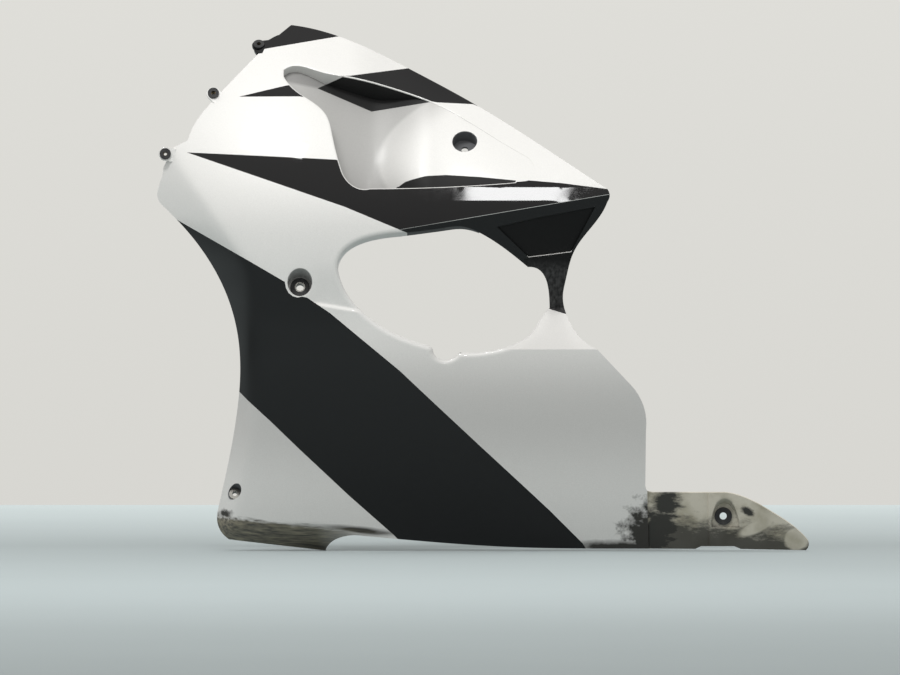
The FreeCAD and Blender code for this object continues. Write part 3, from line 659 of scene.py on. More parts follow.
def feed(node, inputs):
    """Give a node's inputs a value, a socket or a node, which stands for its first output."""
    for name, value in inputs.items():
        if isinstance(value, bpy.types.Node):
            value = next(socket for socket in value.outputs if socket.enabled)
        if isinstance(value, bpy.types.NodeSocket):
            node.id_data.links.new(value, node.inputs[name])
        else:
            node.inputs[name].default_value = value


def add(tree, kind, inputs=(), **settings):
    """Add a shader node with its settings; its inputs come by name, or in the node's own order."""
    node = tree.nodes.new("ShaderNode" + kind)
    for name, value in settings.items():
        setattr(node, name, value)
    feed(node, inputs if isinstance(inputs, dict) else dict(enumerate(inputs)))
    return node


def new_material(name):
    """An empty material; returns it, its tree, its shader and the Object coordinates."""
    material = bpy.data.materials.new(name)
    material.use_nodes = True
    tree = material.node_tree
    shader = tree.nodes["Principled BSDF"]
    return material, tree, shader, add(tree, "TexCoord").outputs["Object"]


def oval(tree, place, noise, centre, radii, turn=0.0, breakup=0.6, edge=0.5):
    """A soft oval field over X and Z, its sizes in mm and its turn in degrees; returns its share."""
    mapped = add(tree, "Mapping", {
        "Vector": place, "Location": (centre[0] * MM, 0, centre[1] * MM),
        "Rotation": (0, math.radians(-turn), 0), "Scale": (radii[0] * MM, 1, radii[1] * MM),
    }, vector_type="TEXTURE")
    reach = add(tree, "VectorMath", (mapped,), operation="LENGTH")
    broken = add(tree, "Math", (noise, breakup, reach), operation="MULTIPLY_ADD")
    middle = 1 + breakup / 2
    return add(tree, "MapRange", (broken, middle - edge, middle + edge, 1.0, 0.0))


def most_of(tree, shares):
    """The largest of some shares."""
    share = shares[0]
    for other in shares[1:]:
        share = add(tree, "Math", (share, other), operation="MAXIMUM")
    return share


def flake_tone(tree, place):
    """Tone of metal flakes: at about 0.05 mm they don't show, so they are drawn 1 mm wide and faint."""
    flakes = add(tree, "TexNoise", {"Vector": place, "Scale": 1000, "Detail": 2.0})
    return add(tree, "MapRange", (flakes, 0.3, 0.7, 0.95, 1.04))


def silver_paint(colours):
    """Silver metallic lacquer on ABS: flakes in the base coat under a clear coat, painted shade on the lower
    panel, dirty low down.
    """
    material, tree, shader, place = new_material("silver metallic lacquer")
    axes = add(tree, "SeparateXYZ", (place,))
    along, height = axes.outputs["X"], axes.outputs["Z"]
    # Painted shade darkens the lower panel, and painted light from the floor lightens it again near the
    # belly
    shade_and_bounce = add(tree, "MapRange", (height, -0.15, -0.03, 0.7, 1.0), interpolation_type="SMOOTHSTEP")
    low = add(tree, "MapRange", (height, -0.27, -0.16, 1.38, 1.0), interpolation_type="SMOOTHSTEP")
    shade_and_bounce = add(tree, "Math", (shade_and_bounce, low), operation="MULTIPLY")
    tone = add(tree, "Math", (flake_tone(tree, place), shade_and_bounce), operation="MULTIPLY")
    paint = add(tree, "VectorMath", {0: colours.silver[:3], "Scale": tone}, operation="SCALE")
    # Dirt clumps about 12 mm wide
    clumps = add(tree, "TexNoise", {"Vector": place, "Scale": 85, "Detail": 6.0, "Roughness": 0.65})
    # Streaks about 20 mm long and 3 mm high
    long_way = add(tree, "Mapping", {"Vector": place, "Scale": (0.15, 1.0, 1.0)})
    streaks = add(tree, "TexNoise", {"Vector": long_way, "Scale": 300, "Detail": 5.0})
    # The front of the belly is dirty below a line that falls slightly rearwards
    line = add(tree, "Math", (along, 0.0924, height), operation="MULTIPLY_ADD")
    broken = add(tree, "Math", (streaks, 0.012, line), operation="MULTIPLY_ADD")
    belly = add(tree, "MapRange", (broken, -0.2945, -0.289, 0.95, 0.0))
    front = add(tree, "MapRange", (along, 0.02, 0.12, 1.0, 0.0))
    belly = add(tree, "Math", (belly, front), operation="MULTIPLY")
    dirt = most_of(tree, [
        oval(tree, place, clumps, (438, -308), (30, 36), breakup=2.2, edge=0.3),
        oval(tree, place, clumps, (400, -326), (70, 7), breakup=1.0),
        oval(tree, place, clumps, (-94, -284), (8, 5), breakup=4.0),
        oval(tree, place, streaks, (75, -305), (40, 4), turn=-6),
        belly,
    ])
    # Brown mud, paler in its streaks and on the belly, black towards the tail
    pale = add(tree, "MapRange", (streaks, 0.35, 0.7, 0.1, 1.0))
    pale = add(tree, "Math", (pale, belly), operation="MULTIPLY")
    mud = add(tree, "Mix", {"Factor": pale, "A": colours.dirt, "B": colours.mud}, data_type="RGBA")
    colour = add(tree, "Mix", {"Factor": dirt, "A": paint, "B": mud}, data_type="RGBA")
    rough = add(tree, "MapRange", (dirt, 0.0, 1.0, 0.5, 0.7))
    clear = add(tree, "MapRange", (dirt, 0.0, 1.0, 0.35, 0.05))
    feed(shader, {"Base Color": colour, "Roughness": rough, "Metallic": 0.08, "Coat Weight": clear,
                  "Coat Roughness": 0.05})
    return material


def shade_silver(colours):
    """The same lacquer with painted shade: darker in the scoop's deep front, darkest in its nose, dark in
    the main boss, full on the plateau.
    """
    material, tree, shader, place = new_material("silver lacquer with painted shade")
    axes = add(tree, "SeparateXYZ", (place,))
    along, height = axes.outputs["X"], axes.outputs["Z"]
    # The painted shade of the deep front ends along a line that bows forward at mid height
    rise = add(tree, "Math", (height, 0.157), operation="SUBTRACT")
    bow = add(tree, "Math", (rise, rise), operation="MULTIPLY")
    past = add(tree, "Math", (bow, -11.0, along), operation="MULTIPLY_ADD")
    step = add(tree, "MapRange", (past, 0.093, 0.102, 0.55, 0.72), interpolation_type="SMOOTHSTEP")
    share = add(tree, "MapRange", (past, 0.1, 0.155, 0.0, 0.28), interpolation_type="SMOOTHSTEP")
    share = add(tree, "Math", (step, share), operation="ADD")
    tone = add(tree, "Math", (flake_tone(tree, place), share), operation="MULTIPLY")
    # The painted shade is darkest in the nose, above a line that falls slightly rearwards
    line = add(tree, "Math", (along, 0.2, height), operation="MULTIPLY_ADD")
    nose = add(tree, "MapRange", (line, 0.252, 0.256, 0.0, 0.38))
    front = add(tree, "MapRange", (along, 0.05, 0.07, 1.0, 0.0))
    nose_shade = add(tree, "Math", (nose, front), operation="MULTIPLY")
    left = add(tree, "Math", (1.0, nose_shade), operation="SUBTRACT")
    tone = add(tree, "Math", (tone, left), operation="MULTIPLY")
    paint = add(tree, "VectorMath", {0: colours.silver[:3], "Scale": tone}, operation="SCALE")
    feed(shader, {"Base Color": paint, "Roughness": 0.55, "Metallic": 0.08, "Coat Weight": 0.1,
                  "Coat Roughness": 0.15})
    return material


def black_paint(colours):
    """Gloss black lacquer: near black with a clear mirror of its surroundings."""
    material, tree, shader, place = new_material("gloss black lacquer")
    # Faint wiping marks about 20 mm wide in the gloss
    marks = add(tree, "TexNoise", {"Vector": place, "Scale": 50, "Detail": 4.0})
    gloss = add(tree, "MapRange", (marks, 0.35, 0.75, 0.02, 0.05))
    feed(shader, {"Base Color": colours.black, "Roughness": gloss, "IOR": 1.43})
    return material


def tail_plastic(colours):
    """Worn grey ABS of the tail: half matt, stained brown and caked with black road dirt low down."""
    material, tree, shader, place = new_material("worn grey ABS")
    # Streaks about 15 mm long and 6 mm high
    long_way = add(tree, "Mapping", {"Vector": place, "Scale": (0.4, 1.0, 1.0)})
    streaks = add(tree, "TexNoise", {"Vector": long_way, "Scale": 140, "Detail": 8.0, "Roughness": 0.7})
    # Stains about 30 mm wide
    clouds = add(tree, "TexNoise", {"Vector": place, "Scale": 35, "Detail": 5.0})
    stain = add(tree, "MapRange", (clouds, 0.42, 0.68, 0.0, 0.65))
    base = add(tree, "Mix", {"Factor": stain, "A": colours.tail, "B": colours.mud}, data_type="RGBA")
    # The lower half is caked, below a line that falls with the tail
    axes = add(tree, "SeparateXYZ", (place,))
    line = add(tree, "Math", (axes.outputs["X"], 0.1, axes.outputs["Z"]), operation="MULTIPLY_ADD")
    broken = add(tree, "Math", (streaks, 0.06, line), operation="MULTIPLY_ADD")
    dirt = most_of(tree, [
        add(tree, "MapRange", (broken, -0.226, -0.206, 0.9, 0.0)),
        oval(tree, place, streaks, (458, -270), (18, 17), breakup=2.2, edge=0.3),
        oval(tree, place, streaks, (450, -306), (26, 30), breakup=2.2, edge=0.3),
        oval(tree, place, streaks, (560, -281), (8, 5), turn=-25, breakup=2.2, edge=0.3),
    ])
    # Rubbed patches: the tip and a streak behind the recess
    rubbed = most_of(tree, [
        oval(tree, place, streaks, (622, -317), (15, 13), breakup=0.5, edge=0.15),
        oval(tree, place, streaks, (568, -303), (19, 6), turn=25, breakup=1.5, edge=0.3),
    ])
    dirt = add(tree, "Math", (dirt, rubbed), operation="SUBTRACT", use_clamp=True)
    colour = add(tree, "Mix", {"Factor": dirt, "A": base, "B": colours.dirt}, data_type="RGBA")
    feed(shader, {"Base Color": colour, "Roughness": 0.45})
    return material


def satin_black(colours):
    """Black paint without a gloss coat: satin, with fine dust, a painted reflection that lightens it in the
    scoop, and scuffs on the neck.
    """
    material, tree, shader, place = new_material("satin black paint")
    height = add(tree, "SeparateXYZ", (place,)).outputs["Z"]
    # Dust grains about 1 mm wide; in the scoop a painted reflection of its pale floor makes the black three
    # times lighter
    dust = add(tree, "TexNoise", {"Vector": place, "Scale": 900, "Detail": 2.0})
    tone = add(tree, "MapRange", (dust, 0.0, 1.0, 0.7, 1.3))
    scoop = add(tree, "MapRange", (height, 0.18, 0.2, 1.0, 3.0))
    tone = add(tree, "Math", (tone, scoop), operation="MULTIPLY")
    # Upright scuffs about 3 mm wide on the neck
    upright = add(tree, "Mapping", {"Vector": place, "Scale": (1.0, 1.0, 0.2)})
    marks = add(tree, "TexNoise", {"Vector": upright, "Scale": 330, "Detail": 5.0})
    scuffs = add(tree, "MapRange", (marks, 0.35, 0.75, 2.0, 14.0))
    neck = add(tree, "MapRange", (height, 0.02, 0.035, 1.0, 0.0))
    tone = add(tree, "Math", (scuffs, neck, tone), operation="MULTIPLY_ADD")
    paint = add(tree, "VectorMath", {0: colours.satin[:3], "Scale": tone}, operation="SCALE")
    feed(shader, {"Base Color": paint, "Roughness": 0.55, "Specular IOR Level": 0.2})
    return material


def boss_shade_grey(colours):
    """Matt, cloudy dark grey in the upper and lower bosses, painted as their shade."""
    material, tree, shader, place = new_material("grey painted shade")
    # Clouds about 8 mm wide
    clouds = add(tree, "TexNoise", {"Vector": place, "Scale": 120, "Detail": 4.0})
    tone = add(tree, "MapRange", (clouds, 0.0, 1.0, 0.8, 1.2))
    paint = add(tree, "VectorMath", {0: colours.boss_shade[:3], "Scale": tone}, operation="SCALE")
    feed(shader, {"Base Color": paint, "Roughness": 0.75})
    return material


def bare_plastic(colours):
    """Unpainted black ABS behind the panel: moulded, with a fine matt grain and a little dust."""
    material, tree, shader, place = new_material("bare moulded ABS")
    # Moulded grain, drawn 2 mm wide so that it shows
    grain = add(tree, "TexNoise", {"Vector": place, "Scale": 500, "Detail": 3.0})
    bump = add(tree, "Bump", {"Height": grain, "Strength": 0.2, "Distance": 0.0004})
    # Patches of dust about 70 mm wide
    dust = add(tree, "TexNoise", {"Vector": place, "Scale": 14, "Detail": 6.0})
    share = add(tree, "MapRange", (dust, 0.45, 0.75, 0.0, 0.35))
    colour = add(tree, "Mix", {"Factor": share, "A": colours.bare, "B": colours.dust}, data_type="RGBA")
    feed(shader, {"Base Color": colour, "Normal": bump, "Roughness": 0.5})
    return material


def moulded_rubber(colours):
    """Black moulded rubber: matt, a little greyed by dust."""
    material, tree, shader, place = new_material("moulded rubber")
    # Patches of dust about 5 mm wide
    dust = add(tree, "TexNoise", {"Vector": place, "Scale": 180, "Detail": 4.0})
    share = add(tree, "MapRange", (dust, 0.4, 0.8, 0.0, 0.4))
    colour = add(tree, "Mix", {"Factor": share, "A": colours.rubber, "B": colours.rubber_dust},
                 data_type="RGBA")
    feed(shader, {"Base Color": colour, "Roughness": 0.7})
    return material


def turned_metal(name, colour, brightest, dullest):
    """A turned metal, its gloss softened by marks about 2.5 mm wide."""
    material, tree, shader, place = new_material(name)
    marks = add(tree, "TexNoise", {"Vector": place, "Scale": 400, "Detail": 3.0})
    gloss = add(tree, "MapRange", (marks, 0.0, 1.0, brightest, dullest))
    feed(shader, {"Base Color": colour, "Roughness": gloss, "Metallic": 1.0})
    return material


def zinc_steel(colours):
    """Zinc plated steel: turned, grey and half bright."""
    return turned_metal("zinc plated steel", colours.steel, 0.25, 0.5)


def machined_brass(colours):
    """Machined brass: turned, tarnished to a dull brown."""
    return turned_metal("machined brass", colours.brass, 0.3, 0.55)


def pale_sheet(colours):
    """The floor's pale sheet: matt, faintly uneven and paler far behind."""
    material, tree, shader, place = new_material("pale floor sheet")
    # Clouds about 700 mm wide
    cloud = add(tree, "TexNoise", {"Vector": place, "Scale": 1.5, "Detail": 3.0})
    tone = add(tree, "MapRange", (cloud, 0.0, 1.0, 0.97, 1.03))
    axes = add(tree, "SeparateXYZ", (place,))
    far = add(tree, "MapRange", (axes.outputs["Y"], 0.4, 3.6, 1.0, 2.0))
    tone = add(tree, "Math", (tone, far), operation="MULTIPLY")
    colour = add(tree, "VectorMath", {0: colours.floor[:3], "Scale": tone}, operation="SCALE")
    feed(shader, {"Base Color": colour, "Roughness": 0.8, "Specular IOR Level": 0.1})
    return material


def pale_wall(colours):
    """The backdrop's matt wall, which the camera, glossy and clear surfaces see as one even pale tone."""
    material, tree, shader, place = new_material("pale backdrop")
    feed(shader, {"Base Color": colours.backdrop, "Roughness": 0.9})
    path = add(tree, "LightPath")
    rays = ("Is Camera Ray", "Is Glossy Ray", "Is Transmission Ray")
    seen = most_of(tree, [path.outputs[ray] for ray in rays])
    axes = add(tree, "SeparateXYZ", (place,))
    tone = add(tree, "MapRange", (axes.outputs["Z"], -1.7, 2.1, 0.94, 1.06))
    even = add(tree, "Emission", {"Color": colours.backdrop, "Strength": tone})
    mix = add(tree, "MixShader", (seen, shader, even))
    feed(tree.nodes["Material Output"], {"Surface": mix})
    return material


made_finishes = {}


def finish_of(build):
    """A material by its maker function, made once."""
    if build not in made_finishes:
        made_finishes[build] = build(bpy.context.scene.side_cover.colours)
    return made_finishes[build]


def finished_piece(name, mesh, materials):
    """A smooth shaded object from a bmesh, with its materials; borders of paint stay crisper."""
    data = bpy.data.meshes.new(name)
    for edge in mesh.edges:
        one_paint = len({face.material_index for face in edge.link_faces}) == 1
        limit = math.radians(35 if one_paint else 12)
        edge.smooth = len(edge.link_faces) == 2 and edge.calc_face_angle() < limit
    for face in mesh.faces:
        face.smooth = True
    mesh.to_mesh(data)
    mesh.free()
    for material in materials:
        data.materials.append(material)
    piece = bpy.data.objects.new(name, data)
    bpy.context.collection.objects.link(piece)
    return piece


def soft_edges(piece, width):
    """Round the sharp edges of a finished piece."""
    edge = piece.modifiers.new("edge", "BEVEL")
    edge.width = width
    edge.segments = 2
    edge.limit_method = "ANGLE"
    edge.angle_limit = math.radians(60)


def shape_lines():
    """Lines that the panel's mesh follows: the wing's crease, the neck's bends and the fields' borders."""
    lines = [line_through([(x, wing_crease(x) - drop) for x in CREASE_RUN_X]) for drop in (0, CREASE_LINE_WIDTH)]
    valley = []
    for x in np.arange(*VALLEY_RUN_X, 4.0):
        heights = np.linspace(wing_crease(x), BEND_Z, 400)
        depths = neck_ramp(x, heights) - wing_underside(x, heights)
        valley.append((float(x), float(heights[np.argmax(depths < 0)])))
    lines += [valley, line_through([(x, BEND_Z) for x in BEND_RUN_X])]
    set_in_fields = [PAD, shrunk(PAD, PAD_WALL), JOGGLE, shrunk(JOGGLE, JOGGLE_WALL)]
    for field in set_in_fields + list(STRIPES.values()) + [TAIL_FIELD]:
        lines.append(line_through(field + field[:1]))
    return lines


def sheet_spots(cell, fine, opening):
    """Spots of the panel's mesh, closer in the tight bends, at the shoulder and round the opening."""
    spots = hex_spots(SHEET_LOW, SHEET_HIGH, cell, lambda x, z: ~tight_bend(x, z))
    spots += hex_spots(SHEET_LOW, SHEET_HIGH, fine, tight_bend)
    spots += hex_spots((5, -45), (75, 0), fine, lambda x, z: np.abs(z - shoulder_line(x)) < 6)
    spots += hex_spots((40, -100), (320, 85), fine / 2,
                       lambda x, z: distance_to(opening, np.stack([x, z], 1)) < ROLL_RADIUS + 0.5)
    return spots


def panel_paint(middles):
    """Material slot of each face of the painted side, by its middle."""
    x, z = middles.T
    paint = np.full(len(middles), SILVER)
    for field in STRIPES.values():
        paint[inside(field, middles)] = BLACK
    paint[inside(TAIL_FIELD, middles)] = TAIL
    # The neck and the pad under the wing have no gloss coat, and a painted highlight runs along the pad's
    # lower border
    pad = inside(PAD, middles)
    above_border = z - PAD_BORDER[1] - slope(PAD_BORDER_RISE) * (x - PAD_BORDER[0])
    paint[(paint == BLACK) & (x > 280) & (z > -60) & (above_border < 0)] = SATIN
    paint[pad] = SATIN
    below_crease = wing_crease(x) - z
    # A pale line is painted just below the wing's crease
    paint[(below_crease > 0) & (below_crease < CREASE_LINE_WIDTH) & (x > 126)] = SHADE_SILVER
    paint[pad & (above_border < PAD_HIGHLIGHT)] = SHADE_SILVER
    return paint


def rim_edges(mesh, loops):
    """The sheet's boundary edges, by the name of the loop that each lies on."""
    owners = [name for name, loop in loops.items() for _ in loop]
    tree = KDTree(len(owners))
    for i, (x, z) in enumerate(point for loop in loops.values() for point in loop):
        tree.insert((x, z, 0), i)
    tree.balance()
    rims = {name: [] for name in loops}
    for edge in mesh.edges:
        if edge.is_boundary:
            middle = (edge.verts[0].co + edge.verts[1].co) / 2 / MM
            rims[owners[tree.find((middle.x, middle.z, 0))[1]]].append(edge)
    return rims


def cup(mesh, rim, mouth, direction, depth, hole, slot):
    """Draw a boss's wall to its seat, close the seat to its bolt hole and paint both."""
    seat = mouth + direction * depth
    rim, walls = draw_rim(mesh, rim, lambda point: point + direction * (seat - point).dot(direction))
    _, floor = draw_rim(mesh, rim, lambda point: seat + (point - seat).normalized() * hole)
    paint_faces(walls + floor, slot)


def tail_recess(mesh, rim):
    """Draw the tail's recess and close its floor to the grommet's hole."""
    seat = on_surface(outer_skin, *REAR_BOSS, REAR_SEAT)
    rim, faces = draw_rim(mesh, rim, lambda point: point + DRAW * ((seat.y - point.y) / DRAW.y))
    hole = bmesh.ops.create_circle(mesh, segments=32, radius=REAR_HOLE * MM)["verts"]
    for vert in hole:
        vert.co = Vector((vert.co.x, 0, vert.co.y)) + seat * MM
    rim += dict.fromkeys(edge for vert in hole for edge in vert.link_edges)
    filled = bmesh.ops.triangle_fill(mesh, use_beauty=True, edges=rim)["geom"]
    paint_faces(faces + of_kind(bmesh.types.BMFace, filled), TAIL)


def scoop_pocket(mesh, rim, cell):
    """Draw the scoop's wall and close its floor round the upper boss; returns the wall and boss rim."""
    floor_rim, walls = draw_rim(mesh, rim, lambda point: drawn_to(scoop_floor, point, SCOOP_DRAW))
    paint_faces(walls, WALL)
    mesh.verts.index_update()
    floor_loop = [(vert.co.x / MM, vert.co.z / MM) for vert in in_order(floor_rim)]
    mouth = on_surface(scoop_floor, *UPPER_BOSS)
    boss_loop = mouth_loop(mouth, UPPER_DRAW, BOSS_RADIUS, scoop_floor, 40)
    lines = [line_through(LEDGE_FIELD[:-2]), line_through(SCOOP_FIELD[:-1])]
    spots = hex_spots((-25, 80), (300, 280), cell)
    flat, faces, middles = flat_sheet(floor_loop, [boss_loop], lines, spots)
    # The scoop's floor takes the silver with painted shade
    paint = np.full(len(faces), SHADE_SILVER)
    paint[inside(SCOOP_FIELD, middles) | inside(LEDGE_FIELD, middles)] = SATIN
    add_sheet(mesh, flat, faces, scoop_floor(*flat.T), paint)
    centre = Vector(UPPER_BOSS)
    boss_rim = [edge for edge in mesh.edges if edge.is_boundary
                and all((vert.co.xz / MM - centre).length < 20 for vert in edge.verts)]
    # The upper boss's cup is a dark grey painted as its shade
    cup(mesh, boss_rim, mouth, UPPER_DRAW, UPPER_SEAT, UPPER_HOLE, SHADE_GREY)
    return walls, boss_rim


def on_upper_wall(point):
    """Whether a point of the scoop's wall, in mm, lies on its upper side."""
    return point.z > SCOOP_TOP_Z - 0.35 * max(point.x - 54, 0) and point.x > -10


def paint_scoop_wall(mesh, walls):
    """Carry the wedge stripe across the scoop's upper wall along one slanted line, and paint the wall."""
    (start_x, start_z), (end_x, end_z) = SCOOP_FIELD[:2]
    start, across = Vector((start_x, 0, start_z)), Vector((start_z - end_z, 0, end_x - start_x))
    upper = [face for face in walls if on_upper_wall(face.calc_center_median() / MM)]
    around = {item for face in upper for item in list(face.verts) + list(face.edges)}
    bmesh.ops.bisect_plane(mesh, geom=upper + list(around), plane_co=start * MM, plane_no=across)
    for face in mesh.faces:
        if face.material_index == WALL:
            middle = face.calc_center_median() / MM
            black = on_upper_wall(middle) and middle.x < 163 and (middle - start).dot(across) > 0
            low_corner = middle.z < 150 and middle.x > 45
            face.material_index = SATIN if black else BLACK if low_corner else SILVER


def round_rims(mesh, rims, offset, segments):
    """Round the edges between two faces of some rims; returns the new faces."""
    edges = [edge for edge in rims if edge.is_valid and len(edge.link_faces) == 2]
    return bmesh.ops.bevel(mesh, geom=edges, offset=offset, offset_type="OFFSET", affect="EDGES",
                           segments=segments, profile=0.5, material=-1, clamp_overlap=False)["faces"]


def panel_mesh(sizes):
    """The panel's painted side as one sheet with its rims, cups, scoop and recess."""
    cell, fine, flange = sizes.cell / MM, sizes.fine_cell / MM, sizes.flange / MM
    fields = list(STRIPES.values()) + [TAIL_FIELD, PAD, JOGGLE]
    lower_mouth = on_surface(outer_skin, *LOWER_BOSS)
    loops = {
        "edge": with_crossings(outline("edge"), fields),
        "opening": with_crossings(outline("opening", OPENING_STEP), fields, OPENING_CLEAR),
        "scoop": with_crossings(outline("scoop"), fields),
        "main": mouth_loop(MAIN_MOUTH, DRAW, BOSS_RADIUS, outer_skin, 40),
        "lower": mouth_loop(lower_mouth, DRAW, LOWER_RADIUS, outer_skin, 28),
        "recess": with_crossings(outline("recess"), fields),
    }
    edge_loop, *holes = loops.values()
    rounded = [loops["scoop"], loops["main"]]
    lines = [clear_of(rounded, line, RIM_GAP) for line in shape_lines()]
    spots = clear_of(rounded, sheet_spots(cell, fine, loops["opening"]), RIM_GAP)
    flat, faces, middles = flat_sheet(edge_loop, holes, lines, spots)
    mesh = bmesh.new()
    add_sheet(mesh, flat, faces, panel_face(flat), panel_paint(middles))
    rims = rim_edges(mesh, loops)
    # The scoop's rim is rounded along its deep part, in metres
    scoop_rim = [edge for edge in rims["scoop"]
                 if all(vert.co.x < 0.2 or vert.co.z < 0.14 and vert.co.x < 0.27 for vert in edge.verts)]

    def flange_end(point):
        """Where the opening's flange ends behind a point of its rim."""
        return drawn_to(lambda x, z: outer_skin(x, z) + flange, point, DRAW)

    # The flange runs out where the rim itself lies as deep as the flange's end
    deep = [edge for edge in rims["opening"]
            if all(flange_end(vert.co / MM).y - vert.co.y / MM > 2 for vert in edge.verts)]
    draw_rim(mesh, deep, flange_end)
    # The main boss's wall takes the silver with painted shade
    cup(mesh, rims["main"], MAIN_MOUTH, DRAW, MAIN_SEAT, MAIN_HOLE, SHADE_SILVER)
    # The lower boss's cup is a dark grey painted as its shade
    cup(mesh, rims["lower"], lower_mouth, DRAW, LOWER_SEAT, LOWER_HOLE, SHADE_GREY)
    tail_recess(mesh, rims["recess"])
    walls, upper_rim = scoop_pocket(mesh, rims["scoop"], cell)
    paint_scoop_wall(mesh, walls)
    bmesh.ops.remove_doubles(mesh, verts=mesh.verts[:], dist=3e-5)
    bmesh.ops.recalc_face_normals(mesh, faces=mesh.faces[:])
    # The largest face of the lower panel tells whether the outer side points outwards
    lower_panel = [face for face in mesh.faces if face.calc_center_median().z < -0.15]
    if max(lower_panel, key=lambda face: face.calc_area()).normal.y > 0:
        bmesh.ops.reverse_faces(mesh, faces=mesh.faces[:])
    round_rims(mesh, rims["main"] + rims["recess"] + upper_rim, sizes.rim_round, 3)
    paint_faces(round_rims(mesh, scoop_rim, sizes.rim_round, 2), SILVER)
    return mesh


class SIDE_COVER_OT_panel(bpy.types.Operator):
    """Build the painted panel with its opening, scoop, wing, bosses and tail."""

    bl_idname = "side_cover.panel"
    bl_label = "Painted panel"

    def execute(self, context):
        sizes = context.scene.side_cover.sizes
        finishes = (silver_paint, black_paint, tail_plastic, satin_black, shade_silver, boss_shade_grey)
        materials = [finish_of(build) for build in finishes] + [finish_of(bare_plastic)] * len(finishes)
        panel = finished_piece("painted_panel", panel_mesh(sizes), materials)
        wall = panel.modifiers.new("wall", "SOLIDIFY")
        wall.thickness = sizes.wall
        wall.offset = -1
        wall.use_quality_normals = True
        wall.material_offset = INSIDE
        soft_edges(panel, sizes.edge_round)
        normals = panel.modifiers.new("normals", "WEIGHTED_NORMAL")
        normals.keep_sharp = True
        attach(panel, "root")
        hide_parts("side_cover_shell")
        return {"FINISHED"}


class SIDE_COVER_OT_lugs(bpy.types.Operator):
    """Build the three front lugs that carry the well nuts."""

    bl_idname = "side_cover.lugs"
    bl_label = "Front lugs"

    def execute(self, context):
        mesh = bmesh.new()
        for x, z, root_x, root_z, degrees, slot in LUGS:
            angle = math.radians(degrees)
            facing = Vector((0, -math.cos(angle), math.sin(angle)))
            root = on_surface(outer_skin, root_x, root_z, LUG_SINK)
            centre = Vector((x, root.y + math.tan(angle) * (z - root_z), z))
            along = (root - centre).normalized()
            side = facing.cross(along)
            outer = bmesh.ops.create_circle(mesh, segments=48, radius=LUG_RADIUS)["verts"]
            inner = bmesh.ops.create_circle(mesh, segments=32, radius=LUG_HOLE)["verts"]
            for vert in outer + inner:
                u, v = vert.co.x, vert.co.y
                if vert in outer and u > 1e-3:
                    u = LUG_REACH
                vert.co = (centre + along * u + side * v) * MM
            rims = list(dict.fromkeys(edge for vert in outer + inner for edge in vert.link_edges))
            plate = bmesh.ops.triangle_fill(mesh, use_beauty=True, edges=rims, normal=facing)["geom"]
            faces = of_kind(bmesh.types.BMFace, plate)
            for depth, tie in LUG_TIES if slot == BLACK else []:
                corners = [on_surface(outer_skin, *point, depth) * MM for point in tie]
                faces.append(mesh.faces.new([mesh.verts.new(corner) for corner in corners]))
            made = bmesh.ops.extrude_face_region(mesh, geom=faces, use_keep_orig=True)["geom"]
            lower = of_kind(bmesh.types.BMVert, made)
            bmesh.ops.translate(mesh, verts=lower, vec=facing * -LUG_THICKNESS * MM)
            paint_faces(faces + [face for vert in lower for face in vert.link_faces], slot)
        bmesh.ops.recalc_face_normals(mesh, faces=mesh.faces[:])
        lugs = finished_piece("front_lugs", mesh, [finish_of(silver_paint), finish_of(black_paint)])
        soft_edges(lugs, context.scene.side_cover.sizes.lug_round)
        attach(lugs, "root")
        return {"FINISHED"}


class SIDE_COVER_OT_hardware(bpy.types.Operator):
    """Give the CAD's grommets, collars and well nuts their finishes."""

    bl_idname = "side_cover.hardware"
    bl_label = "Grommets, collars and well nuts"

    def execute(self, context):
        finishes = {
            "well_nut_rubbers": moulded_rubber, "well_nut_inserts": machined_brass,
            "main_boss_grommet": moulded_rubber, "main_boss_collar": zinc_steel,
            "lower_boss_collar": zinc_steel, "rear_boss_grommet": moulded_rubber,
        }
        for name, build in finishes.items():
            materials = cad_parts[name].data.materials
            for slot in range(len(materials)):
                materials[slot] = finish_of(build)
            if not materials:
                materials.append(finish_of(build))
        return {"FINISHED"}


def plain_plane(name, corners, material):
    """A flat piece of the stage."""
    mesh = bmesh.new()
    mesh.faces.new([mesh.verts.new(corner) for corner in corners])
    plane = finished_piece(name, mesh, [material])


def lamp(name, place, target, size, power):
    """A soft area lamp aimed at a point."""
    light = bpy.data.lights.new(name, "AREA")
    light.shape = "RECTANGLE"
    light.size, light.size_y = size
    light.energy = power
    holder = bpy.data.objects.new(name, light)
    holder.location = place
    holder.rotation_euler = (Vector(target) - Vector(place)).to_track_quat("-Z", "Y").to_euler()
    bpy.context.collection.objects.link(holder)


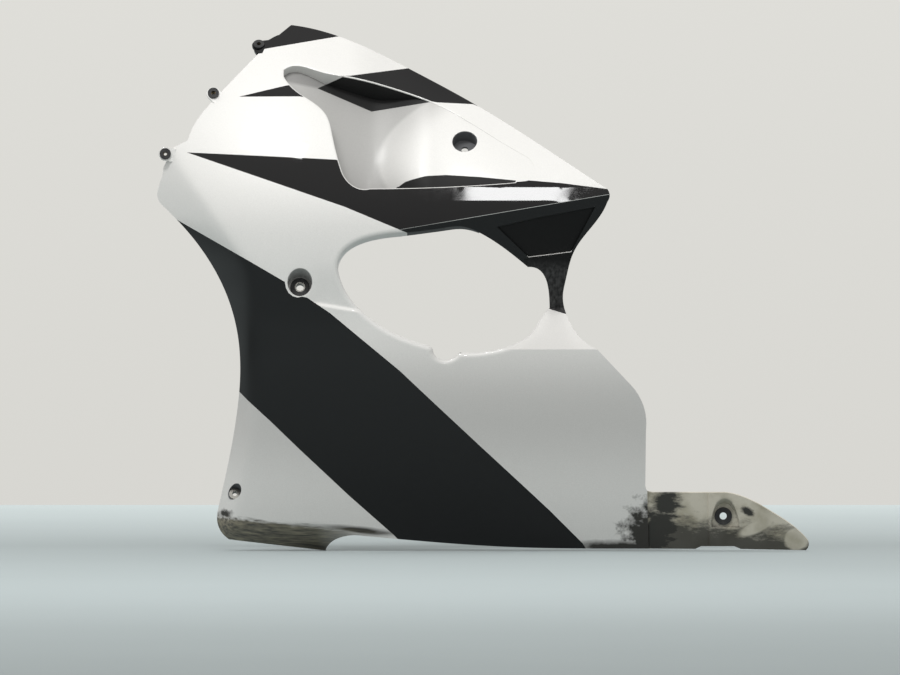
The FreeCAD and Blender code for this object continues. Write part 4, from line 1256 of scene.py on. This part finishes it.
class SIDE_COVER_OT_stage(bpy.types.Operator):
    """Set up the pale floor, backdrop, soft lamps and camera."""

    bl_idname = "side_cover.stage"
    bl_label = "Stage"

    def execute(self, context):
        colours = context.scene.side_cover.colours
        ground, back, left, right, front = -0.331, 3.64, -9.0, 9.0, -9.0
        plain_plane("floor", [(left, front, ground), (right, front, ground), (right, back, ground),
                              (left, back, ground)], pale_sheet(colours))
        # The backdrop stands far behind, so that the back of the panel can be seen too
        far, low, high = 45.0, -9.0, 15.0
        plain_plane("backdrop", [(left, far, low), (right, far, low), (right, far, high), (left, far, high)],
                    pale_wall(colours))
        lamp("window strip", (0.285, -2.57, 1.67), (0.285, 0.0, 0.12), (0.15, 0.9), 12)
        lamp("key softbox", (-1.3, -2.64, 4.05), (0.1, 0.0, 0.0), (2.0, 0.6), 142)
        # The world is brighter above than at the horizon
        world = bpy.data.worlds.new("soft studio")
        world.use_nodes = True
        tree = world.node_tree
        way = add(tree, "SeparateXYZ", (add(tree, "TexCoord").outputs["Generated"],))
        strength = add(tree, "MapRange", (way.outputs["Z"], 0.0, 1.0, 0.65, 0.95))
        feed(tree.nodes["Background"], {"Color": (1.0, 0.985, 0.965, 1), "Strength": strength})
        context.scene.world = world
        context.scene.view_settings.view_transform = "Standard"

        # The frame is 1.125 m wide at 16 m, and its middle lies 38.5 pixels below the camera's axis
        camera = bpy.data.cameras.new("camera")
        camera.sensor_width = 36
        camera.lens = 36 * 16.0 / 1.125
        camera.shift_y = -38.5 / 900
        camera.clip_end = 100
        holder = bpy.data.objects.new("camera", camera)
        holder.location = (0.1875, -16.0, -0.015)
        holder.rotation_euler = (math.pi / 2, 0, 0)
        context.collection.objects.link(holder)
        context.scene.camera = holder
        return {"FINISHED"}


class SIDE_COVER_PT_pieces(bpy.types.Panel):
    """Lists the pieces in the sidebar."""

    bl_idname = "SIDE_COVER_PT_pieces"
    bl_label = "Side cover"
    bl_space_type = "VIEW_3D"
    bl_region_type = "UI"
    bl_category = "Side cover"

    def draw(self, context):
        settings = context.scene.side_cover
        for group in (settings.sizes, settings.colours):
            for name in group.__annotations__:
                self.layout.prop(group, name)
        for operator in OPERATORS:
            self.layout.operator(operator.bl_idname)


OPERATORS = (SIDE_COVER_OT_panel, SIDE_COVER_OT_lugs, SIDE_COVER_OT_hardware, SIDE_COVER_OT_stage)
CLASSES = (CoverSizes, CoverColours, CoverSettings) + OPERATORS + (SIDE_COVER_PT_pieces,)


def register():
    """Register the classes and the scene's settings."""
    for item in CLASSES:
        bpy.utils.register_class(item)
    bpy.types.Scene.side_cover = bpy.props.PointerProperty(type=CoverSettings)


def unregister():
    """Take the settings and classes away again."""
    del bpy.types.Scene.side_cover
    for item in reversed(CLASSES):
        bpy.utils.unregister_class(item)


def main():
    """Build every piece in order."""
    register()
    bpy.ops.side_cover.panel()
    bpy.ops.side_cover.lugs()
    bpy.ops.side_cover.hardware()
    bpy.ops.side_cover.stage()


if __name__ == "__main__":
    main()
